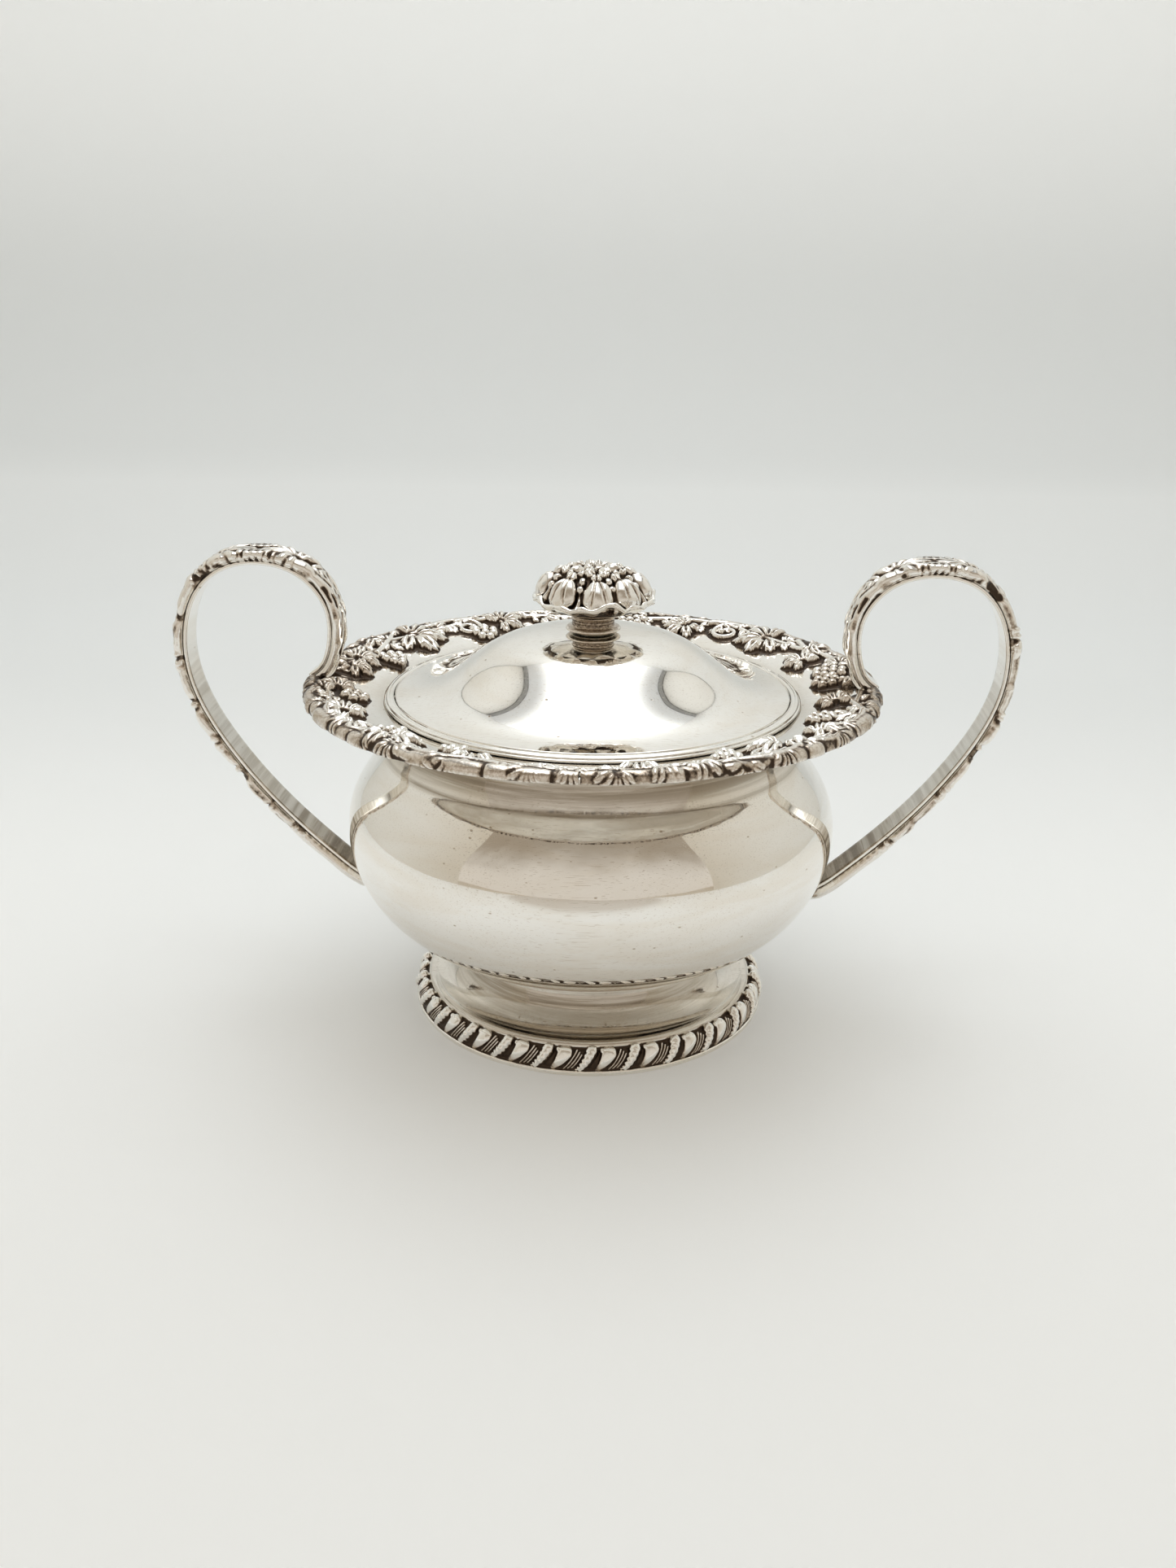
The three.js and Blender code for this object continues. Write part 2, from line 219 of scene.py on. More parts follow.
def plated_fastener():
    """Dull plated brass of the screw and nut inside the lid."""
    nodes = Nodes("plated_fastener")
    grain = nodes.noise((2.0, 2.0, 6.0), 4.0, 0.6)
    return nodes.surface({
        "Base Color": nodes.mix(nodes.fit(grain, 0.4, 0.7), BARE_BRASS, PLATED_BRASS),
        "Metallic": 1.0,
        "Roughness": nodes.fit(grain, 0.3, 0.8, 0.22, 0.42),
        "Normal": nodes.bump(grain, 0.02),
    })


FINISHES = {
    "polished_silver": polished_silver(),
    "cast_silver": cast_silver(),
    "plated_fastener": plated_fastener(),
}

# ---- Stage ----
# A white photographer's booth, in metres: floor and back in one sweep, two side walls, a ceiling of
# light, and a front that is open to a dim warm room.
BOOTH_HALF_WIDTH = 0.48
BOOTH_BACK = 0.57
BOOTH_FRONT = -0.34
BOOTH_HEIGHT = 0.90
SWEEP_START = 0.40
SWEEP_OVERLAP = 1.002    # the sweep is this much wider than the booth
FLOOR_REACH = 3.0
SEAM_WIDTH = 0.008
RAIL_LINE_WIDTH = 0.004
LAYER = 0.002            # how far apart two sheets lie that would touch
CEILING_MIDDLE, CEILING_SIDE = 2.02, 0.33
CEILING_RAIL = 0.445     # half the width between the grey rails along the ceiling's sides
LIGHT_COLOUR = (0.93, 0.97, 1.0)
ROOM_DISTANCE = -1.5     # where the room's far wall stands
ROOM_LOW, ROOM_HIGH = (0.64, 0.595, 0.53), (0.30, 0.25, 0.19)  # its colours near the floor and high up
WHITE_PAPER = (0.925, 0.935, 0.93)
SHADED_PAPER = (0.725, 0.74, 0.735)  # painted shade on the same paper, where it bends up and further back
SIDE_PAPER = (0.89, 0.87, 0.83)
SIDE_FRONT = (0.80, 0.75, 0.67)  # the side walls' front edges
SEAM_PAPER, RAIL_PAPER = (0.14, 0.13, 0.12), (0.46, 0.46, 0.46)
TABLE = (0.68, 0.64, 0.59)
PAINTED_PAPER_GLOW = 0.085       # painted light: a faint glow on the paper that lightens the shadow round the object


def paper_material(name, colour, shade=0.02):
    """Matt paper or cloth with a slight unevenness."""
    nodes = Nodes(name)
    uneven = nodes.noise((0.004, 0.004, 0.004))
    darker = tuple(c * (1 - shade) for c in colour)
    base = nodes.mix(nodes.fit(uneven, 0.3, 0.7), colour, darker)
    return nodes.surface({"Base Color": base, "Roughness": 0.9, "Specular IOR Level": 0.1})


def floor_material():
    """White paper near the object that turns to the room's warm grey in front of the booth."""
    nodes = Nodes("floor_paper")
    x, y, z = nodes.xyz()
    paper_edge = nodes.plus(nodes.times(nodes.times(x, x), -0.0028), -180.0)
    beyond = nodes.math("SUBTRACT", paper_edge, y)
    # Painted shade: the paper is darker where it bends up and further back, and white again high up.
    bend = nodes.fit(z, 4.0, 70.0)
    behind = nodes.times(nodes.fit(y, 20.0, 300.0), 0.75)
    shaded = nodes.math("SUBTRACT", nodes.math("MAXIMUM", bend, behind), nodes.fit(z, 110.0, 320.0))
    paper = nodes.mix(shaded, WHITE_PAPER, SHADED_PAPER)
    return nodes.surface({
        "Base Color": nodes.mix(nodes.fit(beyond, 0.0, 110.0), paper, TABLE),
        # Painted light: the paper glows a little, which lightens the shade on the floor.
        "Emission Color": LIGHT_COLOUR,
        "Emission Strength": PAINTED_PAPER_GLOW,
        "Roughness": 0.85,
        "Specular IOR Level": 0.15,
    })


def side_material():
    """Warm white side wall, duller towards its front edge."""
    nodes = Nodes("side_wall")
    uneven = nodes.times(nodes.noise((0.006, 0.006, 0.006)), 120.0)
    along = nodes.plus(nodes.xyz()[1], uneven)
    base = nodes.mix(nodes.fit(along, -300.0, 140.0), SIDE_FRONT, SIDE_PAPER)
    return nodes.surface({"Base Color": base, "Roughness": 0.9, "Specular IOR Level": 0.1})


def ceiling_material():
    """A diffused panel of light, brightest along its middle."""
    nodes = Nodes("ceiling_light")
    x, y, _ = nodes.xyz()
    side_glow = nodes.fit(nodes.math("ABSOLUTE", x), 140.0, 400.0, CEILING_MIDDLE, CEILING_SIDE)
    glow = nodes.times(side_glow, nodes.fit(y, -320.0, -120.0, 0.25, 1.0))
    grey = (0.5, 0.5, 0.5)
    return nodes.surface({"Base Color": grey, "Emission Color": LIGHT_COLOUR, "Emission Strength": glow})


def room_material():
    """The room in front of the booth, out of focus: light and warm low down, brown and dim higher up."""
    nodes = Nodes("room_wall")
    drift = nodes.times(nodes.noise((0.0022, 0.0022, 0.0015), 2.0), 900.0)
    level = nodes.plus(nodes.xyz()[2], drift)
    glow = nodes.mix(nodes.fit(level, 900.0, 2600.0), ROOM_LOW, ROOM_HIGH)
    dark = (0.02, 0.02, 0.02)
    return nodes.surface({"Base Color": dark, "Emission Color": glow, "Emission Strength": 1.0})


def stage_object(name, corners, faces, material):
    mesh = bpy.data.meshes.new(name)
    mesh.from_pydata(corners, [], faces)
    mesh.materials.append(material)
    mesh.shade_smooth()
    made = bpy.data.objects.new(name, mesh)
    bpy.context.scene.collection.objects.link(made)


def panel(name, x, y, z, material):
    """A flat rectangle: two of x, y and z are (from, to), and the third is where it lies."""
    first, second = [axis for axis, span in enumerate((x, y, z)) if isinstance(span, tuple)]
    corners = []
    for a, b in ((0, 0), (1, 0), (1, 1), (0, 1)):
        corner = [x, y, z]
        corner[first] = corner[first][a]
        corner[second] = corner[second][b]
        corners.append(corner)
    stage_object(name, corners, [(0, 1, 2, 3)], material)


def make_sweep():
    """Floor and back wall: one sheet that bends up behind the object."""
    radius = BOOTH_BACK - SWEEP_START
    bends = [math.radians(a) for a in range(0, 91, 5)]
    curve = [(SWEEP_START + radius * math.sin(a), radius * (1 - math.cos(a))) for a in bends]
    profile = [(-FLOOR_REACH, 0), (-1, 0), (-0.3, 0), (0, 0), *curve, (BOOTH_BACK, BOOTH_HEIGHT)]
    half = BOOTH_HALF_WIDTH * SWEEP_OVERLAP
    corners = [(x, y, z) for y, z in profile for x in (-half, half)]
    faces = [(2 * k, 2 * k + 1, 2 * k + 3, 2 * k + 2) for k in range(len(profile) - 1)]
    stage_object("stage_sweep", corners, faces, floor_material())


def make_booth():
    """Side walls with their dark seams, the tables outside, the lit ceiling with its rails, and the room."""
    seam, rail_paper = paper_material("seam", SEAM_PAPER), paper_material("rail", RAIL_PAPER)
    side_paper = side_material()
    depth = (BOOTH_FRONT, BOOTH_BACK)
    up = BOOTH_HEIGHT - 2 * LAYER
    for side in (-1, 1):
        x, rail = side * BOOTH_HALF_WIDTH, side * CEILING_RAIL
        near = x - side * LAYER
        panel(f"stage_wall_{side + 1}", x, depth, (0, BOOTH_HEIGHT), side_paper)
        panel(f"stage_table_{side + 1}", (x, 4 * x), (-FLOOR_REACH, 1), -0.001, side_paper)
        panel(f"stage_seam_top_{side + 1}", near, depth, (up, up - SEAM_WIDTH), seam)
        panel(f"stage_seam_back_{side + 1}", near, (BOOTH_BACK - SEAM_WIDTH / 2, BOOTH_BACK), (0.1, up), seam)
        panel(f"stage_rail_{side + 1}", (rail, x), depth, BOOTH_HEIGHT - 3 * LAYER, rail_paper)
        line = (rail - side * RAIL_LINE_WIDTH, rail)
        panel(f"stage_rail_line_{side + 1}", line, depth, BOOTH_HEIGHT - 4 * LAYER, seam)
    across = (BOOTH_HALF_WIDTH, -BOOTH_HALF_WIDTH)
    panel("stage_ceiling", across, depth, BOOTH_HEIGHT, ceiling_material())
    panel("stage_room", (-3.0, 3.0), ROOM_DISTANCE, (-0.2, 3.0), room_material())


def make_world():
    world = bpy.data.worlds.new("room")
    world.use_nodes = True
    background = world.node_tree.nodes["Background"]
    background.inputs["Color"].default_value = (*ROOM_LOW, 1)
    background.inputs["Strength"].default_value = 1.0
    bpy.context.scene.world = world
    bpy.context.scene.view_settings.view_transform = "Standard"


# ---- Curves and meshes ----
def smooth(value, low, high):
    """0 up to low, 1 from high on, and an even curve between them."""
    part = np.clip((np.asarray(value, float) - low) / (high - low), 0, 1)
    return part * part * (3 - 2 * part)


def lengths(points):
    """How far along the line each of its points lies."""
    return np.concatenate([[0], np.cumsum(np.linalg.norm(np.diff(points, axis=0), axis=1))])


def points_at(points, at):
    """The places at distances `at` along the line."""
    along = lengths(points)
    return np.stack([np.interp(at, along, column) for column in points.T], axis=1)


def resample(points, step):
    total = lengths(points)[-1]
    return points_at(points, np.linspace(0, total, max(2, int(round(total / step)) + 1)))


def normals(points):
    """The direction to the left of the line at each of its points."""
    along = np.gradient(points, axis=0)
    along /= np.linalg.norm(along, axis=1)[:, None]
    return np.stack([-along[:, 1], along[:, 0]], axis=1)


def spline(points, step=0.5, relax=0.0):
    """Points about every `step` along the smooth curve through `points`, evened out over `relax`."""
    points = np.array(points, float)
    knots = lengths(points)
    gaps = np.diff(knots)
    count = len(points)
    system = np.eye(count)
    right = np.zeros_like(points)
    for k in range(1, count - 1):
        system[k, k - 1 : k + 2] = gaps[k - 1], 2 * (gaps[k - 1] + gaps[k]), gaps[k]
        slopes = (points[k + 1] - points[k]) / gaps[k] - (points[k] - points[k - 1]) / gaps[k - 1]
        right[k] = 6 * slopes
    bend = np.linalg.solve(system, right)
    at = np.linspace(0, knots[-1], max(2, int(round(knots[-1] / (step * 0.25)))) + 1)
    k = np.clip(np.searchsorted(knots, at) - 1, 0, count - 2)
    gap = gaps[k][:, None]
    before = (at - knots[k])[:, None]
    after = gap - before
    made = (bend[k] * after**3 + bend[k + 1] * before**3) / (6 * gap)
    made += (points[k] / gap - bend[k] * gap / 6) * after
    made += (points[k + 1] / gap - bend[k + 1] * gap / 6) * before
    if relax:
        made = even_out(made, relax)
    return resample(made, step)


def even_out(points, distance):
    """Rounds off what is shorter than `distance`; the ends and their directions stay."""
    along = lengths(points)
    total = along[-1]
    spread = np.linspace(-2.5, 2.5, 41)
    weights = np.exp(-(spread**2) / 2)
    weights /= weights.sum()
    made = np.zeros_like(points)
    for offset, weight in zip(spread * distance, weights):
        at = along + offset
        moved = points_at(points, np.clip(at, 0, total))
        twin = points_at(points, np.where(at < 0, -at, np.where(at > total, 2 * total - at, 0)))
        anchor = np.where((at < 0)[:, None], points[0], points[-1])
        outside = ((at < 0) | (at > total))[:, None]
        made += weight * np.where(outside, 2 * anchor - twin, moved)
    return made


def shell(outer, thickness):
    """A closed outline of even thickness under an outer curve."""
    return np.concatenate([outer, (outer + thickness * normals(outer))[::-1]])


def spun(radius, z, angle):
    """Corners at each radius and height, turned to each angle."""
    return np.stack([radius * np.cos(angle), radius * np.sin(angle), z + 0 * angle], axis=-1)


def raised(path, normal, height):
    """Radius and height of a grid that stands off a path of (radius, z) points along its normals."""
    return path[:, :1] + height * normal[:, :1], path[:, 1:] + height * normal[:, 1:]


def grid_faces(rows, columns, wrap_rows=False, wrap_columns=False):
    """Corner numbers of the faces of a rows by columns grid, which may close on itself either way."""
    row = np.arange(rows if wrap_rows else rows - 1)
    column = np.arange(columns if wrap_columns else columns - 1)
    row, column = (a.ravel() for a in np.meshgrid(row, column, indexing="ij"))
    here, there = row * columns, (row + 1) % rows * columns
    beside = (column + 1) % columns
    return np.stack([here + column, here + beside, there + beside, there + column], 1).tolist()


def piece(name, node, corners, faces, patina, finish, body):
    """A smooth-shaded piece from corners in millimetres. It rides on a body in place of a CAD node."""
    mesh = bpy.data.meshes.new(name)
    mesh.from_pydata((corners.reshape(-1, 3) * MM).tolist(), [], faces)
    shade = np.asarray(patina, np.float32).ravel()
    mesh.attributes.new("patina", "FLOAT", "POINT").data.foreach_set("value", shade)
    shape = bmesh.new()
    shape.from_mesh(mesh)
    bmesh.ops.remove_doubles(shape, verts=shape.verts, dist=1e-7)
    bmesh.ops.recalc_face_normals(shape, faces=shape.faces)
    shape.to_mesh(mesh)
    shape.free()
    mesh.shade_smooth()
    mesh.materials.append(FINISHES[finish])
    made = bpy.data.objects.new(name, mesh)
    bpy.context.scene.collection.objects.link(made)
    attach(made, body)
    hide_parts(node)


def ring_piece(name, node, rings, angle, patina, finish, body, closed=True):
    """A piece from rings of (radius, z); `closed` joins its last ring to its first."""
    corners = np.stack([spun(radius, z, angle) for radius, z in rings])
    faces = grid_faces(len(rings), len(angle), wrap_rows=closed, wrap_columns=True)
    piece(name, node, corners, faces, np.repeat(patina, len(angle)), finish, body)


def lathe(name, node, outline, finish, body, patina=None, steps=ROUND_STEPS):
    """Spins a closed outline of (radius, z) points; it starts and ends on the axis or closes on itself."""
    outline = np.array(outline, float)
    on_axis = outline[0, 0] < 1e-6 and outline[-1, 0] < 1e-6
    angle = np.linspace(0, 2 * math.pi, steps, endpoint=False)
    shade = np.zeros(len(outline)) if patina is None else patina(outline)
    ring_piece(name, node, outline, angle, shade, finish, body, not on_axis)


# ---- Bowl ----
BELLY = [
    (0, 14.7), (16, 15.0), (28, 16.2), (36, 18.3), (43.2, 21.5), (49.5, 25.6), (55, 31.2), (58.7, 37.6),
    (60.6, 44.2), (60.9, 49.0), (60.2, 54.4), (57.8, 60.0), (54.2, 65.0), (51.5, 68.2),
]
NECK = [(51.5, 68.2), (49.9, 71.2), (49.0, 74.4), (49.1, 77.0), (50.3, 79.2)]
FLANGE_VISIBLE_RADIUS = 69.0
THROAT = [(50.95, 80.77), (50.5, 80.62), (50.15, 80.2), (49.6, 79.2), (48.7, 77.4), (48.05, 75.4)]
FOOT = [(42.6, 1.6), (42.3, 4.6), (42.1, 5.9)]
FOOT_BEAD = [(42.1, 5.9), (41.9, 6.7), (41.2, 7.15), (40.2, 7.15), (39.4, 6.95)]
FOOT_RISE = [(39.4, 6.95), (37.9, 7.0), (36.2, 7.6), (33.4, 9.4), (31.2, 12.0), (30.3, 15.6)]


def flange_top(radius):
    return SEAT_Z + FLANGE_SLOPE * (radius - SEAT_RADIUS)


def bowl_outline():
    """Up the outside from the bottom's middle, round the flange's edge, and down the inside."""
    belly = spline(BELLY, 0.8, relax=2.0)
    body = even_out(np.concatenate([belly[:-1], spline(NECK, 0.4, relax=0.6)]), 0.35)
    under = np.array([(r, flange_top(r) - WALL) for r in np.linspace(53.6, FLANGE_VISIBLE_RADIUS, 14)])
    throat = spline([body[-1], (51.8, 80.0), under[0]], 0.3)
    outer = even_out(np.concatenate([body, throat[1:], under[1:]]), 0.5)
    flange = np.array([(r, flange_top(r)) for r in np.linspace(FLANGE_VISIBLE_RADIUS, THROAT[0][0], 18)])
    inside = (outer + WALL * normals(outer))[::-1]
    inside = inside[(inside[:, 1] < THROAT[-1][1] - 0.4) & (inside[:, 0] < 61)]
    inner = np.concatenate([flange[:-1], spline(THROAT, 0.2)[:-1], inside])
    inner[-1, 0] = 0
    middle = (outer[-1] + inner[0]) / 2
    slope = math.atan(FLANGE_SLOPE)
    outwards = np.array([math.cos(slope), math.sin(slope)])
    upwards = np.array([-outwards[1], outwards[0]])
    turns = np.radians(np.linspace(-75, 75, 6))
    edge = [middle + WALL / 2 * (math.cos(a) * outwards * 0.6 + math.sin(a) * upwards) for a in turns]
    return np.concatenate([outer[:-1], edge, inner[1:]])


def bowl_painted_shade(outline):
    """Painted shade in the crease, on the neck under the rim and on the flange's underside, where the rim
    shades the bowl.
    """
    radius, z = outline.T
    under_rim = np.exp(-(((z - 79.6) / 1.6) ** 2)) * (radius > 49.5) * (radius < 56)
    neck = np.exp(-(((z - 73.5) / 4.5) ** 2)) * (radius < 54)
    crease = np.exp(-(((z - 68.6) / 0.5) ** 2)) * (radius < 54)
    under_flange = (radius > 52.5) * (flange_top(radius) - z > 0.6) * (z > 79)
    return np.clip(0.4 * under_rim + 0.46 * neck + 0.30 * crease + 0.38 * under_flange, 0, 0.66)


def foot_outline():
    outer = [spline(FOOT, 0.4)[:-1], spline(FOOT_BEAD, 0.2)[:-1], spline(FOOT_RISE, 0.4, relax=0.8)]
    return shell(even_out(np.concatenate(outer), 0.2), FOOT_WALL)


def foot_tarnish_and_painted_shade(outline):
    """A film of oxide over the foot, with painted shade that makes it darker up under the bowl."""
    return 0.32 + 0.14 * smooth(outline[:, 1], 7.5, 12)


def rounded_ring(inner, outer, bottom, top, corner, steps=5):
    """Outline of a ring of rectangular section with rounded corners."""
    corners = [
        (outer - corner, bottom + corner, -90), (outer - corner, top - corner, 0),
        (inner + corner, top - corner, 90), (inner + corner, bottom + corner, 180),
    ]
    made = []
    for x, z, start in corners:
        for angle in np.radians(start + np.linspace(0, 90, steps)):
            made.append((x + corner * math.cos(angle), z + corner * math.sin(angle)))
    return made


def make_bowl():
    lathe("bowl_shell", "bowl_body", bowl_outline(), "polished_silver", "bowl", bowl_painted_shade)
    lathe("foot_shell", "foot_pedestal", foot_outline(), "polished_silver", "bowl", foot_tarnish_and_painted_shade)
    wire = rounded_ring(41.4, 45.2, 0.0, 1.3, 0.4)
    lathe("foot_wire", "foot_base_wire", wire, "polished_silver", "bowl")


# ---- Lid ----
LID = [
    (1.95, 96.8), (8, 96.75), (15, 96.2), (20, 95.1), (24, 93.5), (28, 91.1), (32, 88.2), (36, 85.5),
    (40, 83.6), (44, 82.6), (48.3, 82.15),
]
EDGE_WIRE = [
    (48.6, 81.25), (50.0, 80.84), (50.6, 80.82), (50.9, 80.95), (51.0, 81.2), (50.85, 81.42),
    (50.5, 81.5), (50.35, 81.56), (50.45, 81.72), (50.3, 81.95), (49.95, 82.02), (49.7, 81.96),
    (49.6, 82.08), (49.2, 82.14), (48.6, 82.12),
]


def make_lid():
    dome = shell(spline(LID, 0.5, relax=1.5)[::-1], LID_WALL)
    lathe("lid_cover", "lid_dome", dome, "polished_silver", "lid")
    lathe("lid_edge", "lid_edge_wire", EDGE_WIRE, "polished_silver", "lid")
    ring = rounded_ring(46.1, 47.0, 75.8, 80.9, 0.25)
    lathe("lid_locating_ring", "lid_bezel", ring, "polished_silver", "lid")


# ---- Cast relief ----
def blur(field, rows, columns, wrap=True):
    """Evens a height map out over so many rows and columns; columns go round when wrap is set."""
    made = field
    for axis, spread in ((0, rows), (1, columns)):
        reach = int(math.ceil(2.5 * spread))
        weights = np.exp(-(np.arange(-reach, reach + 1) ** 2) / (2 * spread**2))
        weights /= weights.sum()
        pad = [(0, 0), (0, 0)]
        pad[axis] = (reach, reach)
        padded = np.pad(made, pad, mode="wrap" if wrap and axis == 1 else "edge")
        size = made.shape[axis]
        made = sum(w * np.take(padded, np.arange(k, k + size), axis=axis) for k, w in enumerate(weights))
    return made


class Relief:
    """A height map in millimetres over a curved strip. Each row lies at a distance `across` the strip,
    and one step along it is `scale` long there. Stamps raise it where they are higher than it."""

    def __init__(self, across, along, scale, round_trip=None):
        self.across = np.asarray(across, float)[:, None]
        self.along = np.asarray(along, float)[None, :]
        self.scale = np.asarray(scale, float)[:, None]
        self.round_trip = round_trip
        self.height = np.zeros((self.across.size, self.along.size))

    def place(self, along, across, turn, reach):
        """Rows and columns within reach of a point, and their places in axes turned by `turn` degrees."""
        step = self.along - along
        if self.round_trip:
            half = self.round_trip / 2
            step = (step + half) % self.round_trip - half
        near = np.abs(step[0]) * self.scale.max() < reach
        rows = np.abs(self.across[:, 0] - across) < reach
        window = np.ix_(rows, near)
        x = step[:, near] * self.scale[rows]
        y = self.across[rows] - across + 0 * x
        c, s = math.cos(math.radians(turn)), math.sin(math.radians(turn))
        return window, x * c + y * s, y * c - x * s

    def scale_at(self, across):
        return np.interp(across, self.across[:, 0], self.scale[:, 0])

    def raise_to(self, window, height):
        self.height[window] = np.maximum(self.height[window], height)

    def soften(self, spread, wrap=True):
        self.height = blur(self.height, spread, spread, wrap)

    def ball(self, along, across, radius, base=0.3):
        window, x, y = self.place(along, across, 0, radius)
        inside = 1 - (x * x + y * y) / radius**2
        self.raise_to(window, np.where(inside > 0, base + radius * np.sqrt(np.maximum(inside, 0)), 0))

    def grapes(self, along, across, turn, rows, radius=1.3, base=0.35):
        """A bunch that narrows along its turned X axis; `rows` gives how many grapes each row has."""
        c, s = math.cos(math.radians(turn)), math.sin(math.radians(turn))
        scale = self.scale_at(across)
        for k, count in enumerate(rows):
            for n in range(count):
                x = k * radius * 1.65
                y = (n - (count - 1) / 2) * radius * 1.9
                lift = base + 0.35 * (1 - abs(y) / (radius * 4)) + 0.12 * ((k + n) % 2)
                self.ball(along + (x * c - y * s) / scale, across + x * s + y * c, radius, lift)

    def rope(self, points, radius, height, taper=(1.0, 1.0)):
        """A round stem through points of (along, across), with its radius tapering at its ends."""
        curve = spline(points, 0.3) if len(points) > 2 else resample(np.array(points, float), 0.3)
        self.rope_on(curve, radius, height, taper)

    def rope_on(self, curve, radius, height, taper):
        middle = curve.mean(axis=0)
        reach = np.abs(curve - middle).max() + 2 * radius
        window, x, y = self.place(middle[0], middle[1], 0, reach)
        scale = self.scale_at(middle[1])
        nearest = np.full(x.shape, 1e9)
        size = np.full(x.shape, radius)
        for k, (px, py) in enumerate(curve):
            part = k / max(len(curve) - 1, 1)
            width = radius * (taper[0] + (taper[1] - taper[0]) * part)
            away = np.hypot(x - (px - middle[0]) * scale, y - (py - middle[1])) / width
            closer = away < nearest
            nearest = np.where(closer, away, nearest)
            size = np.where(closer, width, size)
        top = np.sqrt(np.clip(1 - nearest**2, 0, 1))
        self.raise_to(window, np.where(nearest < 1, height * (0.35 + 0.65 * top) * size / radius, 0))

    def scroll(self, along, across, turn, size, radius=0.85, height=1.5, hand=1, turns=1.35):
        """A tendril curled into a C, which ends in a ball."""
        part = np.linspace(0, 1, 60)
        angle = np.radians(turn) + hand * 2 * math.pi * turns * part
        reach = size * (1 - 0.72 * part**0.8)
        ahead = reach * np.cos(angle) / self.scale_at(across)
        curve = np.stack([along + ahead, across + reach * np.sin(angle)], axis=1)
        self.rope_on(curve, radius, height, (1.0, 0.7))
        self.ball(*curve[-1], radius * 1.1, base=height * 0.45)

    def leaf(self, along, across, turn, size, lobes, height=1.5, base=0.3):
        """A vine leaf with toothed lobes round its stalk, each folded up on both sides of its own vein.
        A lobe is (angle, length as a share of the size, half its angle)."""
        window, x, y = self.place(along, across, turn, size * 1.1)
        x, y = x / size, y / size
        out = np.hypot(x, y)
        heading = np.degrees(np.arctan2(y, x))
        made = np.zeros(x.shape)
        for angle, length, half in lobes:
            off = np.abs((heading - angle + 180) % 360 - 180)
            aside = np.clip(off / half, 0, 1)
            tooth = 1 - np.abs(2 * ((2.5 * aside) % 1) - 1)
            reach = length * (1 - 0.42 * aside**1.5 - 0.11 * tooth)
            rim = np.sqrt(np.clip(1 - (out / reach) ** 6, 0, 1))
            swell = 0.55 + 0.45 * np.sin(math.pi * np.clip(out / length, 0, 1) ** 0.8)
            vein = np.exp(-((out * np.radians(off) / 0.045) ** 2))
            valley = np.exp(-((out * np.radians(half - off) / 0.06) ** 2))
            ribs = 0.5 + 0.5 * np.cos(2 * math.pi * (4.2 * out - 1.5 * aside))
            body = rim * swell * (1 - 0.45 * vein - 0.50 * valley - 0.07 * ribs)
            made = np.maximum(made, np.where((off < half) & (out < reach), body, 0))
        made -= 0.25 * np.exp(-((out / 0.12) ** 2))  # the dip at the stalk
        self.raise_to(window, np.where(made > 0.02, base + height * made, 0))

    def bud(self, along, across, half_width, half_height, rise):
        """A swollen bud, narrower at its top, inside two sepals that part over its middle."""
        window, x, y = self.place(along, across, 0, half_height * 1.15)
        x, y = x / half_width, y / half_height
        away = np.hypot(x / (1 - 0.22 * y), y)
        body = np.sqrt(np.clip(1 - away**2.4, 0, 1))
        parting = np.abs(x) - (0.30 - 0.24 * y)
        groove = np.exp(-((parting / 0.07) ** 2))
        sepal = np.clip(parting / 0.12, 0, 1)
        made = rise * body * (1 + 0.07 * sepal - 0.12 * groove)
        self.raise_to(window, np.where(away < 1, made, 0))

    def ribbed_leaf(self, along, across, turn, length, width, height, ribs):
        """A long leaf with lengthwise flutes; its stalk is at the point given and its tip along X."""
        window, x, y = self.place(along, across, turn, length * 1.15)
        part = np.clip(x / length, 0, 1)
        half = width / 2 * np.sin(math.pi * np.clip(0.12 + 0.88 * part, 0, 1)) ** 0.7
        share = y / np.maximum(half, 1e-3)
        ratio = np.clip(np.abs(share), 0, 1)
        flute = 0.5 + 0.5 * np.cos(math.pi * ribs * np.clip(share, -1, 1))
        on = (x > 0) & (x < length) & (ratio < 1)
        body = height * np.sqrt(1 - ratio**2) * (0.62 + 0.38 * flute)
        self.raise_to(window, np.where(on, 0.2 + body, 0))

    def fold(self, start, end, folds):
        """Raises the rows from `start` outwards into rounded folds, with a narrow crease between them.
        A fold is (the angle where it begins, its height)."""
        profile = np.zeros(self.along.shape)
        finishes = [begin for begin, _ in folds[1:]] + [folds[0][0] + 360]
        for (begin, top), finish in zip(folds, finishes):
            part = ((self.along - begin) % 360) / (finish - begin)
            inside = 0.45 + 0.55 * np.clip(1 - np.abs(2 * part - 1) ** 3, 0, 1) ** 0.5
            profile = np.maximum(profile, np.where(part <= 1, top * inside, 0))
        self.height = np.maximum(self.height, smooth(self.across, start, end) * profile)

    def patina(self, ground, spread):
        """0 on the worn tops and 1 in the hollows, over hollows about `spread` steps wide."""
        wide = blur(self.height, spread * 2.2, spread * 2.2) - self.height
        fine = blur(self.height, spread * 0.7, spread * 0.7) - self.height
        hollow = np.clip(0.95 * np.maximum(wide, 0) + 2.0 * np.maximum(fine, 0), 0, 1)
        flat = np.clip(1 - self.height / ground, 0, 1)
        return np.clip(1.15 * hollow + 0.55 * flat, 0, 1)


VINE_LEAF = [(0, 1.0, 27), (54, 0.90, 27), (-54, 0.90, 27), (107, 0.72, 26), (-107, 0.72, 26)]
WIDE_LEAF = [(0, 1.0, 28), (56, 1.0, 28), (-55, 0.86, 27), (112, 0.85, 28), (-110, 0.76, 28)]
SMALL_LEAF = [(0, 1.0, 38), (72, 0.70, 34), (-72, 0.70, 34)]
UNDERSIDE_PATINA = 0.6


